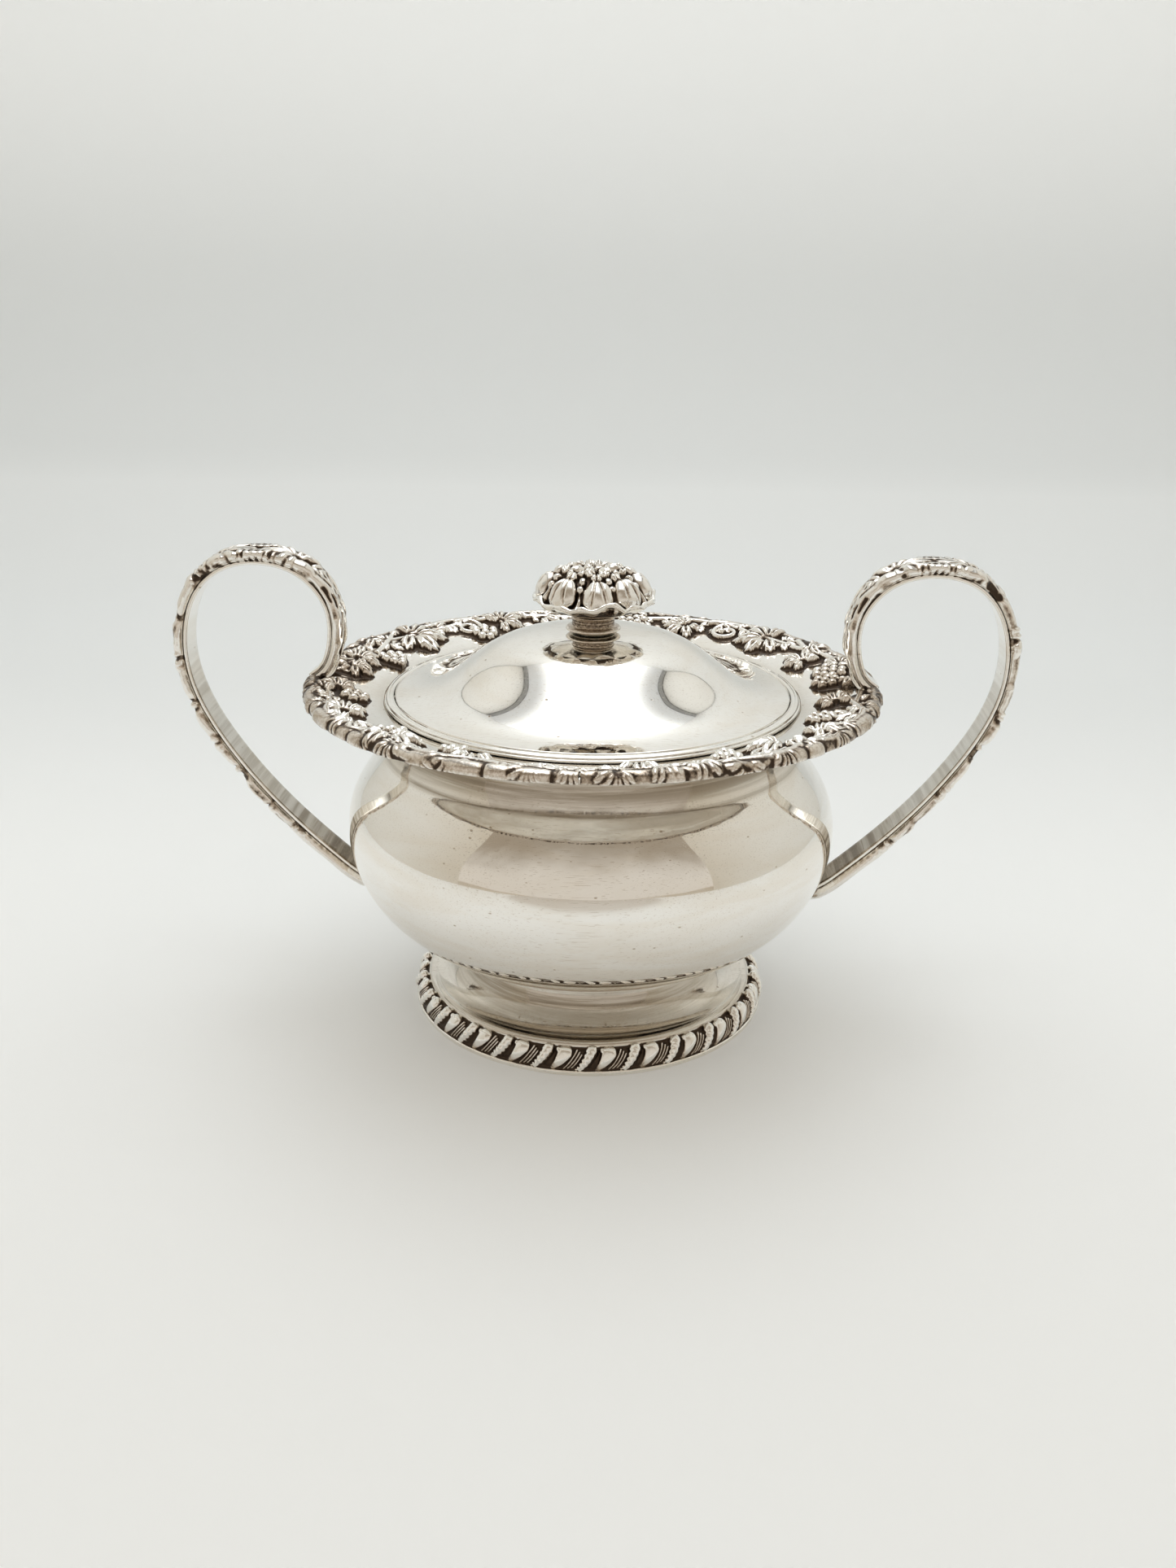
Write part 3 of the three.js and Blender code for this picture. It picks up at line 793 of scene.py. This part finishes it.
def strip_piece(name, node, top, sink, bottom_every, ends, patina, body):
    """A closed cast piece under a grid of top corners; `sink` gives the corners of its underside. With
    `ends` it is closed at its first and last column, and otherwise it goes all the way round."""
    rows, columns, _ = top.shape
    kept = list(range(0, rows - 1, bottom_every)) + [rows - 1]
    total = rows + len(kept)
    faces = grid_faces(total, columns, wrap_rows=True, wrap_columns=not ends)
    for column, turned in ((0, False), (columns - 1, True)) if ends else ():
        for k in range(len(kept) - 1):
            over = [r * columns + column for r in range(kept[k], kept[k + 1] + 1)]
            face = over + [(total - 2 - k) * columns + column, (total - 1 - k) * columns + column]
            faces.append(face[::-1] if turned else face)
    shade = np.concatenate([patina, np.full((len(kept), columns), UNDERSIDE_PATINA)])
    piece(name, node, np.concatenate([top, sink[kept[::-1]]]), faces, shade, "cast_silver", body)


# ---- Vine border on the rim ----
BORDER_PATH = [
    (53.0, 81.2), (56, 81.75), (60, 82.6), (64, 83.5), (66.4, 84.25), (68.0, 84.75), (68.9, 84.6),
    (69.25, 84.0), (69.25, 83.2),
]
BORDER_STEP = 0.19
BORDER_COLUMNS = 2240
BORDER_SUNK = 0.28       # how far the border's ground lies under the flange's face
BORDER_GAP = 3.3         # half the gap left for a handle, in degrees
BORDER_SEAM = 0.12       # half the gap between two cast sections, in degrees
BORDER_REACH = 70.35     # the outermost radius that the ornament comes to
BORDER_EDGE = 68.4       # the radius where the folded edge begins to turn down
BORDER_UNDERSIDE = 68.9  # the outermost radius of the underside
BORDER_SEED = 11
STEM_RADIUS = 65.6       # the radius that the main stem wanders about

# The vine, by angle in degrees and distance from the bowl's axis in millimetres, counted anticlockwise
# from the right handle: leaves as (angle, radius, turn, size), where turn 0 points anticlockwise and 90
# outwards, grapes as (angle, radius, turn, rows), and scrolls as (angle, radius, turn, size, hand).
BIG_LEAVES = [
    (142.5, 64.5, -150, 10.4), (43.5, 64.0, -28, 10.2), (-133, 62.0, 20, 9.2), (-45, 61.0, 160, 9.2),
]
MEDIUM_LEAVES = [
    (165.5, 63.5, -155, 7.6), (116.5, 64.0, 160, 8.2), (67.5, 63.0, -60, 7.6), (25, 60.0, -15, 7.0),
    (171.5, 62.0, -80, 6.4), (-9, 59.5, -20, 6.4), (-154, 62.5, 195, 7.4), (-34, 62.5, 35, 7.2),
    (-112, 61.5, 80, 6.8), (-79, 62.0, 95, 6.6), (-172, 62.0, 160, 6.6), (153, 67.5, 30, 6.2),
    (31, 67.0, 150, 6.4),
]
GRAPES = [
    (156.5, 59.0, -60, (3, 3, 2, 1)), (122.3, 60.5, -70, (3, 3, 2)), (81.5, 67.0, -75, (3, 4, 3, 2)),
    (17, 62.0, 175, (3, 4, 3, 2)), (7, 60.5, -60, (2, 3, 2)), (-138, 59.4, -95, (3, 2, 1)),
    (-168, 60.0, -75, (2, 3, 2)), (-60, 61.0, -60, (3, 2, 2, 1)), (-120, 59.0, -60, (2, 2, 1)),
    (-22, 60.0, -80, (2, 3, 2)),
]
SCROLLS = [
    (125.5, 63.0, 60, 4.6, 1), (102.5, 68.0, 200, 3.6, -1), (56.0, 63.0, 120, 4.8, -1),
    (-141, 65.0, 210, 4.6, 1), (-19.5, 62.0, 20, 3.8, 1), (-52, 64.8, -40, 4.4, -1),
    (-97, 63.5, 90, 3.4, 1), (-126, 66.0, 40, 3.4, -1),
]
STEMS = [
    [(135, 66.5), (131, 67.6), (126, 67.8), (122, 67.2)],
    [(62, 66.0), (57, 69.0), (52, 68.6), (47, 65.6)],
    [(-41, 62.0), (-46, 66.6), (-56, 67.8), (-64, 66.4), (-70, 67.6)],
    [(-104, 67.6), (-110, 66.2), (-118, 67.6), (-125, 66.0)],
    [(158, 62.0), (150, 65.0), (146, 67.2)],
    [(36, 66.8), (31, 65.0), (25, 63.0)],
    [(-158, 65.0), (-150, 67.6), (-146, 67.0)],
    [(-12, 63.5), (-20, 67.2), (-30, 67.0)],
    [(95, 66.5), (88, 67.8), (80, 66.8)],
    [(112, 67.5), (106, 68.0), (100, 66.0)],
]


def border_ground(relief, edge, stem, draw):
    """What covers the border between its large motifs: the folded edge, the main stem and small leaves."""
    folds = []
    begin = -180.0
    while begin < 178:
        folds.append((begin, draw.uniform(0.75, 1.5)))
        begin += draw.uniform(2.5, 12.5)
    relief.fold(edge - 1.8, edge + 0.5, folds)
    wander = []
    for angle in range(-180, 181, 6):
        wave = 1.2 * math.sin(math.radians(7 * angle))
        wander.append((angle, stem(STEM_RADIUS) + wave + draw.uniform(-0.4, 0.4)))
    for k in range(0, len(wander) - 3, 3):
        relief.rope(wander[k : k + 4], 0.85, 1.1)
    for angle in np.arange(-180, 180, 7.2):
        radius = draw.uniform(62.5, 66.5)
        relief.leaf(angle, stem(radius), draw.uniform(20, 340), draw.uniform(4.0, 6.0), SMALL_LEAF, 0.8)
    for angle in np.arange(-180, 180, 7.5):
        turn = 90 + draw.uniform(-75, 75)
        place = angle + draw.uniform(-2, 2), edge - draw.uniform(-1.2, 3.8)
        relief.leaf(*place, turn, draw.uniform(5.2, 7.4), VINE_LEAF, draw.uniform(1.2, 1.7))
    for angle in np.arange(-177, 180, 10.5):
        low, high = draw.uniform(-0.6, 0.9, 2)
        curve = [(angle, edge + low), (angle + 3.5, edge + high + 0.6), (angle + 7, edge + high - 0.5)]
        relief.rope(curve, draw.uniform(0.8, 1.15), draw.uniform(1.2, 1.6), (0.9, 0.7))


def border_relief():
    path = spline(BORDER_PATH, BORDER_STEP, relax=0.4)
    across = lengths(path)
    face = path[:-12, 0]  # the rows before the path turns down
    along = np.linspace(-180, 180, BORDER_COLUMNS, endpoint=False)
    relief = Relief(across, along, np.radians(path[:, 0]), round_trip=360)

    def at(radius):
        """The distance across the border at which its face has this radius."""
        return float(np.interp(radius, face, across[: len(face)]))

    border_ground(relief, at(BORDER_EDGE), at, np.random.default_rng(BORDER_SEED))
    for stem in STEMS:
        relief.rope([(a, at(r)) for a, r in stem], 0.95, 1.6, (1.0, 0.8))
        relief.ball(stem[-1][0], at(stem[-1][1]), 1.05, 0.8)
    for angle, radius, turn, size, hand in SCROLLS:
        relief.scroll(angle, at(radius), turn, size, hand=hand)
    for angle, radius, turn, size in MEDIUM_LEAVES:
        relief.leaf(angle, at(radius), turn, size, VINE_LEAF, 2.15)
    for angle, radius, turn, rows in GRAPES:
        relief.grapes(angle, at(radius), turn, rows)
    for angle, radius, turn, size in BIG_LEAVES:
        relief.leaf(angle, at(radius), turn, size, WIDE_LEAF, 2.4)
    relief.soften(0.7)
    return path, relief


def make_border():
    path, relief = border_relief()
    normal = normals(path)
    ornament = relief.height > 0.15
    out = np.clip((path[:, :1] - 66.5) / 2.2, 0, 1)  # 1 on the outer edge
    halo = np.clip(2.6 * blur(ornament * 1.0, 5, 5), 0, 1)
    ground = -BORDER_SUNK + np.maximum((BORDER_SUNK + 0.06) * halo, (BORDER_SUNK + 0.1) * out)
    radius, z = raised(path, normal, ground + (1 - 0.35 * out) * relief.height)
    radius = np.minimum(radius, BORDER_REACH)
    # The outer wall gets 0.15 more all over: painted shade on the border's outward face, on top of the oxide
    # in the relief's hollows.
    patina = 0.06 + 1.05 * relief.patina(0.7, 4) * (1 - 0.10 * out) + 0.15 * out
    patina *= np.clip((z - path[:, 1:] + 0.22) / 0.25, 0, 1)
    from_handle = np.minimum(abs(relief.along), 180 - abs(relief.along))
    patina = np.clip(patina + 0.22 * np.exp(-((from_handle / 17) ** 2)) * ornament, 0, 1)
    low = path - 0.55 * normal
    low[:, 0] = np.minimum(low[:, 0], BORDER_UNDERSIDE)
    sections = {
        "back_right": (BORDER_GAP, 90 - BORDER_SEAM),
        "back_left": (90 + BORDER_SEAM, 180 - BORDER_GAP),
        "front_left": (-180 + BORDER_GAP, -90 - BORDER_SEAM),
        "front_right": (-90 + BORDER_SEAM, -BORDER_GAP),
    }
    for place, (start, end) in sections.items():
        on = (relief.along[0] >= start) & (relief.along[0] <= end)
        angle = np.radians(relief.along[0][on])
        top, sink = spun(radius[:, on], z[:, on], angle), spun(low[:, :1], low[:, 1:], angle)
        strip_piece(f"vine_border_{place}", f"rim_border_{place}", top, sink, 8, True, patina[:, on], "bowl")


# ---- Gadrooned border on the foot ----
GADROON_PATH = [(44.75, 1.35), (44.9, 2.4), (44.65, 3.7), (43.95, 5.0), (42.75, 6.0), (42.1, 6.15)]
GADROON_CELLS = 26
GADROON_COLUMNS = GADROON_CELLS * 68
GADROON_STEP = 0.13
GADROON_RADIUS = 44.2
GADROON_INSIDE = 41.9
GADROON_SUNK = 0.40      # how far the border's ground lies under its path
BERRIES = [(0.82, 1.3), (0.65, 1.15), (0.48, 1.05), (0.33, 0.9), (0.19, 0.72), (0.09, 0.6)]


def gadroon_cell(relief, angle, height):
    """One lobe, fine flutes, a curled leaf of rounded knobs and a small bud, all swept down to the left."""
    pitch = 360 / GADROON_CELLS
    top = relief.across.max()

    def lean(part):
        return -0.34 * (1 - part) ** 1.5

    def sweep(start, low, high, width_low, width_high, rise):
        parts = np.linspace(low, high, 40)
        curve = np.array([(angle + pitch * (start + lean(p)), top * p) for p in parts])
        relief.rope_on(curve, width_high, rise, (width_low / width_high, 1.0))

    sweep(0.11, 0.04, 0.72, 0.60, 1.85, height * 1.3)
    for k, start in enumerate((0.355, 0.435, 0.51)):
        sweep(start, 0.04 + 0.03 * k, 0.84 - 0.09 * k, 0.20, 0.27, height * 0.78)
    for part, size in BERRIES:
        at = angle + pitch * (0.70 + lean(part))
        relief.ball(at, top * part, size, height * 0.50)
        relief.ball(at - pitch * 0.085, top * part - 0.3, size * 0.62, height * 0.38)
    sweep(0.83, 0.10, 0.70, 0.20, 0.32, height * 0.60)
    relief.ball(angle + pitch * 0.90, top * 0.82, 0.62, height * 0.50)


def make_gadroon():
    path = spline(GADROON_PATH, GADROON_STEP, relax=0.2)
    along = np.linspace(0, 360, GADROON_COLUMNS, endpoint=False)
    across = lengths(path)
    relief = Relief(across, along, np.full(len(path), math.radians(GADROON_RADIUS)), round_trip=360)
    for cell in range(GADROON_CELLS):
        gadroon_cell(relief, cell * 360 / GADROON_CELLS + 1.0, 0.95)
    relief.soften(0.8)
    edge = np.clip(np.minimum(across, across[-1] - across) / 0.35, 0, 1)[:, None]
    radius, z = raised(path, -normals(path), (relief.height - GADROON_SUNK) * edge)
    patina = np.clip(0.06 + 1.2 * relief.patina(0.7, 4), 0, 1)
    angle = np.radians(along)
    sink = spun(np.full((len(path), 1), GADROON_INSIDE), path[:, 1:], angle)
    top = spun(radius, z, angle)
    strip_piece("foot_gadroons", "foot_gadroon_border", top, sink, 12, False, patina, "bowl")


# ---- Handles ----
# The strap's inner face, from the rim over the top of the loop and down to the bowl, as (x, z).
LOOP = [
    (69.6, 85.4), (67.0, 87.4), (65.2, 91.2), (64.4, 96.0), (64.9, 101.5), (67.6, 106.6), (72.4, 110.5),
    (79.0, 112.3), (85.6, 111.9), (91.4, 109.3), (95.9, 104.2), (98.2, 98.0), (98.9, 91.0), (97.8, 83.0),
    (94.5, 74.5), (88.8, 65.0), (81.5, 55.4), (72.0, 45.2), (62.8, 36.7), (58.5, 33.2), (55.4, 31.1),
    (53.2, 29.3),
]
HANDLE_WIDTH = 8.4
STRAP_THICKNESS = 1.0
STRAP_FLAT = 3.9         # half the width of the strap's flat faces
VINE_NEAR = 1.12         # from the strap's inner face to the vine's underside
VINE_LIMIT = (102.3, 115.9)  # the ornament's largest x and z
VINE_SECTION = [(-3.8, 0.0), (-4.15, 0.3), (-4.2, 0.8), (-3.9, 1.25), (-2.4, 1.45), (0, 1.5)]
VINE_SEED = 5
TAIL = 29                # how long the ribbed leaf is that ends the vine


def loop_line(step):
    """Points along the loop, the directions out of it, and the band's width as a share of its widest."""
    line = spline(LOOP, step, relax=0.8)
    part = lengths(line) / lengths(line)[-1]
    share = np.minimum(0.74 + 0.26 * smooth(part, 0, 0.22), 1.0 - 0.2 * smooth(part, 0.93, 1))
    return line, normals(line), share


def on_loop(line, outwards, aside, distance):
    """Corners at `aside` across the band and `distance` out from the loop's line."""
    x = line[:, 0] + distance * outwards[:, 0]
    z = line[:, 1] + distance * outwards[:, 1]
    return np.stack([np.minimum(x, VINE_LIMIT[0]), aside, np.minimum(z, VINE_LIMIT[1])], axis=-1)


def make_strap(name, node, turn):
    line, outwards, share = loop_line(0.5)
    half, thick = HANDLE_WIDTH / 2, STRAP_THICKNESS
    flat = np.linspace(-STRAP_FLAT, STRAP_FLAT, 9)
    edge = [(half - 0.09, 0.09), (half, 0.35), (half, thick - 0.35), (half - 0.09, thick - 0.09)]
    section = [(y, 0.05 * (1 - (y / half) ** 2)) for y in flat] + edge
    section += [(y, thick) for y in flat[::-1]] + [(-y, d) for y, d in edge[::-1]]
    corners = np.stack([on_loop(line, outwards, y * share, d) for y, d in section]) @ turn.T
    count, columns, _ = corners.shape
    faces = grid_faces(count, columns, wrap_rows=True)
    faces.append([r * columns for r in range(count)])
    faces.append([r * columns + columns - 1 for r in range(count)][::-1])
    inner_face = np.array([d < 0.2 for _, d in section])[:, None]
    away = lengths(line)
    dull = (0.05 + 0.27 * smooth(away, 55, 85) + 0.34 * smooth(away, 105, 142)) * inner_face
    piece(name, node, corners, faces, dull, "polished_silver", "bowl")


def vine_at_rim(relief, middle):
    """Flutes that cross as they rise from the rim, with grapes and two leaves over the loop's top."""
    relief.leaf(0.5, middle, 0, 7.0, SMALL_LEAF, 1.2)
    for side in (-1, 1):
        for k, rise in enumerate((1.7, 1.35, 1.6)):
            starts = (0.5 + 2.5 * k, 7 + 3 * k, 14 + 3 * k, 21 + 2.5 * k, 29)
            asides = (5.0, 4.7, 1.4, -2.8, -5.0)
            crossing = [(start, middle + side * aside) for start, aside in zip(starts, asides)]
            relief.rope(crossing, 0.9, rise, (0.8, 0.8))
        edge = middle + side * 4.1
        for k, rise in enumerate((1.25, 1.4, 1.1)):
            drop = middle + side * (3.5 + 0.75 * k)
            flute = [(1 + 2 * k, drop), (14, drop + 0.5 * side), (30 + 3 * k, drop - 0.3 * side)]
            relief.rope(flute, 0.36, rise)
        relief.leaf(24, edge, 10 * side, 8.5, SMALL_LEAF, 1.5)
        relief.scroll(33.0, edge, 150 * side, 2.4, 0.7, 1.4, -side)
        relief.grapes(36.0, edge, 2 * side, (2, 3, 3, 3, 2, 1), 0.85, 0.6)
        relief.leaf(50.5, edge, 180 - 12 * side, 8.0, SMALL_LEAF, 1.5)
    relief.leaf(30, middle, 12, 9.5, VINE_LEAF, 1.5)
    relief.leaf(47, middle, 172, 9.5, VINE_LEAF, 1.5)


def vine_down(relief, middle, end, draw):
    """A stem with buds and small leaves down the loop's outer side."""
    position, side = 52.0, 1
    stem = [(46, middle), (54, middle + 1.4)]
    while position < end - TAIL - 2:
        for edge in (-1, 1):
            start = position + draw.uniform(-2.0, 2.0)
            drop = middle + edge * draw.uniform(3.9, 4.7)
            turn, size, rise = draw.uniform(-12, 12), draw.uniform(8.0, 12.0), draw.uniform(0.7, 1.25)
            relief.leaf(start, drop, turn, size, SMALL_LEAF, rise)
            relief.ball(start + size, drop, draw.uniform(0.6, 1.0), 0.2)
        size, rise = draw.uniform(6.0, 7.5), draw.uniform(1.1, 1.4)
        relief.leaf(position, middle + 0.8 * side, 34 * side, size, SMALL_LEAF, rise)
        stem.append((position + 6, middle - 1.2 * side))
        position += draw.uniform(8.5, 11.5)
        side = -side
    stem.append((end - TAIL + 3, middle))
    relief.rope(stem, 0.7, 1.3)


def vine_relief(across, along):
    """The vine along a handle. Distances run along the loop from the rim."""
    relief = Relief(across, along, np.ones(len(across)))
    middle, end = across[-1] / 2, along[-1]
    vine_at_rim(relief, middle)
    vine_down(relief, middle, end, np.random.default_rng(VINE_SEED))
    for aside in (-1, 0, 1):
        relief.ribbed_leaf(end - TAIL, middle + 2.2 * aside, 3 * aside, 28, 6.0, 1.3, 4)
    for k in range(10):
        start = end - TAIL + 2.0 + 2.0 * k
        for edge in (-1, 1):
            relief.rope([(start, middle + 2.4 * edge), (start + 3.4, middle + 5.0 * edge)], 0.42, 1.0)
    relief.ball(end - 2.0, middle, 1.3, 0.1)
    relief.soften(0.8, wrap=False)
    return relief


def make_vine(name, node, turn):
    line, outwards, share = loop_line(0.2)
    half = spline(VINE_SECTION, 0.21)
    section = np.concatenate([half, (half[:-1] * (-1, 1))[::-1]])
    across, along = lengths(section), lengths(line)
    relief = vine_relief(across, along)
    normal = normals(section)
    edge = np.minimum(across, across[-1] - across)[:, None]
    last = smooth(along, along[-1] - 5, along[-1])
    height = (relief.height - 0.1) * (0.3 * smooth(edge, 0, 0.4) + 0.7 * smooth(edge, 0.4, 1.2))
    height *= 1 - 0.6 * last
    width = share * (1 - 0.45 * last)
    rows = []
    for (y, d), (aside, out), rise in zip(section, normal, height):
        rows.append(on_loop(line, outwards, (y + rise * aside) * width, VINE_NEAR + d + rise * out))
    sink = [on_loop(line, outwards, 0.9 * y * width, VINE_NEAR) for y, _ in section]
    worn = (1 - 0.5 * smooth(along, 50, 64)) * (0.65 + 0.35 * smooth(edge, 0.6, 1.4))
    patina = 0.11 + 1.15 * relief.patina(0.6, 4) * worn
    strip_piece(name, node, np.stack(rows) @ turn.T, np.stack(sink) @ turn.T, 6, True, patina, "bowl")


def make_handles():
    half_turn = np.diag([-1.0, -1.0, 1.0])
    for side, turn in (("right", np.eye(3)), ("left", half_turn)):
        make_strap(f"handle_band_{side}", f"handle_strap_{side}", turn)
        make_vine(f"handle_vine_cast_{side}", f"handle_vine_{side}", turn)


# ---- Finial ----
STEM_OUTLINE = [
    (1.95, 97.46), (6.1, 97.46), (6.5, 97.58), (6.75, 97.85), (6.7, 98.15), (6.3, 98.35), (5.7, 98.45),
    (5.3, 98.65), (5.1, 98.95), (5.25, 99.15), (5.02, 99.35), (5.16, 99.55), (5.2, 99.9), (5.0, 100.1),
    (5.2, 100.3), (5.3, 100.6), (5.5, 100.85), (5.45, 101.1), (1.95, 101.1),
]
PLATE_UNDER = [(5.6, 101.35), (7.0, 101.7), (9.6, 102.5), (12.0, 103.35), (13.6, 104.1), (14.4, 104.6)]
PLATE_INSIDE = [(13.6, 0.1), (12.8, -0.2), (10, -0.7), (6, -1.4), (2.2, -2.0)]  # (radius, lift)
PLATE_WAVES = 14
PLATE_COLUMNS = 560
FLOWER_PATH = [
    (13.3, 104.3), (12.5, 105.4), (11.5, 107.2), (10.3, 109.0), (8.5, 110.4), (6.4, 111.2), (3.6, 111.2),
    (0.3, 111.0),
]
FLOWER_COLUMNS = 560
FLOWER_SEED = 3
CROWN_RADIUS = 6.0       # the crown lies within this radius and the petals round it
BUDS = (-126, -83, -46, -3, 42, 87, 132, 181)  # where the flower's buds stand, in degrees
STUD_RADIUS, STUD_HOLE = 1.6, 1.95
THREAD_PITCH, THREAD_DEPTH = 0.7, 0.28
WASHER_RADIUS, SPACER_RADIUS = 4.6, 5.4
NUT_ACROSS_FLATS = 6.4


def rounded_outline(outline):
    """A closed outline with short rounds at its corners, so that its edges catch the light."""
    outline = np.array(outline, float)
    before, after = np.roll(outline, 1, axis=0), np.roll(outline, -1, axis=0)
    made = []
    for a, corner, b in zip(before, outline, after):
        for other in (a, b):
            reach = np.linalg.norm(other - corner)
            made.append(corner + (other - corner) * min(0.12 / reach, 0.3))
    return np.array(made)


def stem_patina(outline):
    """Tarnish left in the turned grooves of the stem."""
    radius = outline[:, 0]
    return np.clip(0.31 + 0.9 * np.clip(5.25 - radius, 0, 0.4) - 0.12 * (radius > 6.2), 0, 1)


def plate_edge(angle):
    """How far out the leaf edge of the plate comes, and how high it rolls, round the finial."""
    wave = 0.7 * np.abs(np.sin(PLATE_WAVES / 2 * angle)) + 0.22 * np.sin(5 * angle + 1.0)
    curl = np.clip(np.sin(4 * angle + 0.6) + 0.5 * np.sin(9 * angle), 0, 1.5)
    roll = 0.5 * np.abs(np.sin(PLATE_WAVES / 2 * angle + 0.9)) ** 1.5
    return 14.6 + 0.65 * wave, 104.5 + roll + 0.9 * curl


def make_plate():
    """The leaf plate under the flower: its underside, its rolled edge, and its face down to the stud."""
    angle = np.linspace(0, 2 * math.pi, PLATE_COLUMNS, endpoint=False)
    reach, roll = plate_edge(angle)
    rings, shades = [], []
    for radius, z in spline(PLATE_UNDER, 0.3):
        share = smooth(radius, 9, 14.4)
        rings.append((radius + (reach - 15.0) * share, z + (roll - 104.8) * share))
        shades.append(0.12)
    fold = 0.68 + 0.17 * np.sin(PLATE_WAVES * 1.5 * angle + 0.4)
    for bend in math.pi * (-0.30 + 1.25 * np.linspace(0, 1, 12)):
        rings.append((reach - fold + fold * math.cos(bend), roll + 0.4 + fold * math.sin(bend)))
        shades.append(0.0)
    for radius, lift in PLATE_INSIDE:
        rings.append((radius, roll * radius / 14 + 104.4 * (1 - radius / 14) + lift))
        shades.append(0.85)
    rings.append((2.2, 101.5))
    shades.append(0.6)
    ring_piece("finial_saucer", "finial_plate", rings, angle, shades, "cast_silver", "lid")


def flower_ring(relief, draw):
    """Eight swollen buds wrapped in sepals, stalks between them, and curled leaves over their tops."""
    for turn, following in zip(BUDS, BUDS[1:] + (BUDS[0] + 360,)):
        relief.bud(turn, 3.9, 3.7, 4.1, draw.uniform(2.5, 2.75))
        between = (turn + following) / 2
        relief.rope([(between - 1, 0.2), (between + 1, 2.5), (between, 5.0)], 0.5, 1.2, (1.4, 0.8))
        relief.ball(between, 5.4, 0.9, 0.7)
        relief.leaf(turn + draw.uniform(-5, 5), 10.4, -90 + draw.uniform(-20, 20), 4.0, SMALL_LEAF, 1.7)
        relief.ball(between + draw.uniform(-3, 3), 7.4, 1.0, 0.8)


def flower_middle(relief, x, y, draw):
    """Seven creased petals round the top of the flower, and six seeds inside them."""
    for k in range(7):
        angle = math.radians(k * 51.4 + draw.uniform(-6, 6))
        ahead = x * math.cos(angle) + y * math.sin(angle) - draw.uniform(3.9, 4.6)
        aside = y * math.cos(angle) - x * math.sin(angle)
        petal = np.sqrt(np.clip(1 - (ahead / 2.3) ** 2 - (aside / 1.55) ** 2, 0, 1))
        crease = 0.35 * np.exp(-((aside / 0.28) ** 2))
        relief.height = np.maximum(relief.height, petal * (2.3 - crease))
    for k in range(6):
        angle = math.radians(k * 72 + 20)
        reach = 1.75 if k < 5 else 0.0
        away = np.hypot(x - reach * math.cos(angle), y - reach * math.sin(angle)) / 1.05
        seed = 1.1 + 1.1 * np.sqrt(np.clip(1 - away**2, 0, 1))
        relief.height = np.maximum(relief.height, (away < 1) * seed)


def make_flower():
    path = spline(FLOWER_PATH, 0.17, relax=0.3)
    along = np.linspace(-180, 180, FLOWER_COLUMNS, endpoint=False)
    angle = np.radians(along)
    relief = Relief(lengths(path), along, np.radians(path[:, 0]), round_trip=360)
    draw = np.random.default_rng(FLOWER_SEED)
    flower_ring(relief, draw)
    flower_middle(relief, path[:, :1] * np.cos(angle), path[:, :1] * np.sin(angle), draw)
    dents = blur(draw.normal(size=relief.height.shape), 4, 5)
    relief.soften(0.7)
    relief.height += dents * 0.13 / dents.std()
    top = spun(*raised(path, -normals(path), relief.height), angle)
    sink = spun(np.maximum(path[:, :1] - 1.2, 0.2), path[:, 1:] - 1.0, angle)
    patina = 0.10 + relief.patina(1.1, 4)
    outer = path[:, 0] >= CROWN_RADIUS
    parts = {"finial_flower": ("finial_petals", outer), "finial_centre": ("finial_crown", ~outer)}
    for name, (node, on) in parts.items():
        strip_piece(name, node, top[on], sink[on], 8, False, patina[on], "lid")


def node_heights(name):
    """The lowest and highest z of a frame node, in millimetres."""
    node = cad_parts[name]
    heights = [(node.matrix_world @ corner.co).z / MM for corner in node.data.vertices]
    return min(heights), max(heights)


def make_nut():
    """A hexagonal nut with its corners turned down and its hole chamfered."""
    low, high = node_heights("finial_nut")
    angle = np.radians(np.arange(0, 360, 3))
    side = NUT_ACROSS_FLATS / 2 / np.cos(np.radians((np.degrees(angle) + 30) % 60 - 30))
    turned_down = np.minimum(side, NUT_ACROSS_FLATS / 2) - 0.1
    hole = STUD_HOLE
    rings = [(hole, low + 0.25), (hole + 0.25, low), (turned_down, low), (side, low + 0.35)]
    rings += [(side, high - 0.35), (turned_down, high), (hole + 0.25, high), (hole, high - 0.25)]
    clean = np.zeros(len(rings))
    ring_piece("finial_hex_nut", "finial_nut", rings, angle, clean, "plated_fastener", "lid")


def make_fasteners():
    """The screw that holds the finial: a threaded stud, its nut and washer, and a spacer over the lid."""
    rings = {
        "finial_washer": ("finial_nut_washer", WASHER_RADIUS),
        "finial_ring": ("finial_spacer", SPACER_RADIUS),
    }
    for name, (node, radius) in rings.items():
        low, high = node_heights(node)
        outline = rounded_outline([(STUD_HOLE, low), (radius, low), (radius, high), (STUD_HOLE, high)])
        lathe(name, node, outline, "plated_fastener", "lid", steps=128)
    low, high = node_heights("finial_stud")
    root = STUD_RADIUS - THREAD_DEPTH
    outline = [(0, low), (root, low)]
    z = low + THREAD_PITCH / 2
    while z < high - THREAD_PITCH:
        outline += [(STUD_RADIUS, z), (root, z + THREAD_PITCH / 2)]
        z += THREAD_PITCH
    outline += [(root, high), (0, high)]
    lathe("finial_screw", "finial_stud", outline, "plated_fastener", "lid", steps=64)
    make_nut()


def make_finial():
    outline = rounded_outline(STEM_OUTLINE)
    # The stem is turned, but it is as tarnished as the cast pieces, so it takes the cast silver finish.
    lathe("finial_collar", "finial_stem", outline, "cast_silver", "lid", stem_patina, 192)
    make_plate()
    make_flower()
    make_fasteners()


# ---- The scene ----
make_camera()
make_sweep()
make_booth()
make_world()
make_bowl()
make_lid()
make_border()
make_gadroon()
make_handles()
make_finial()
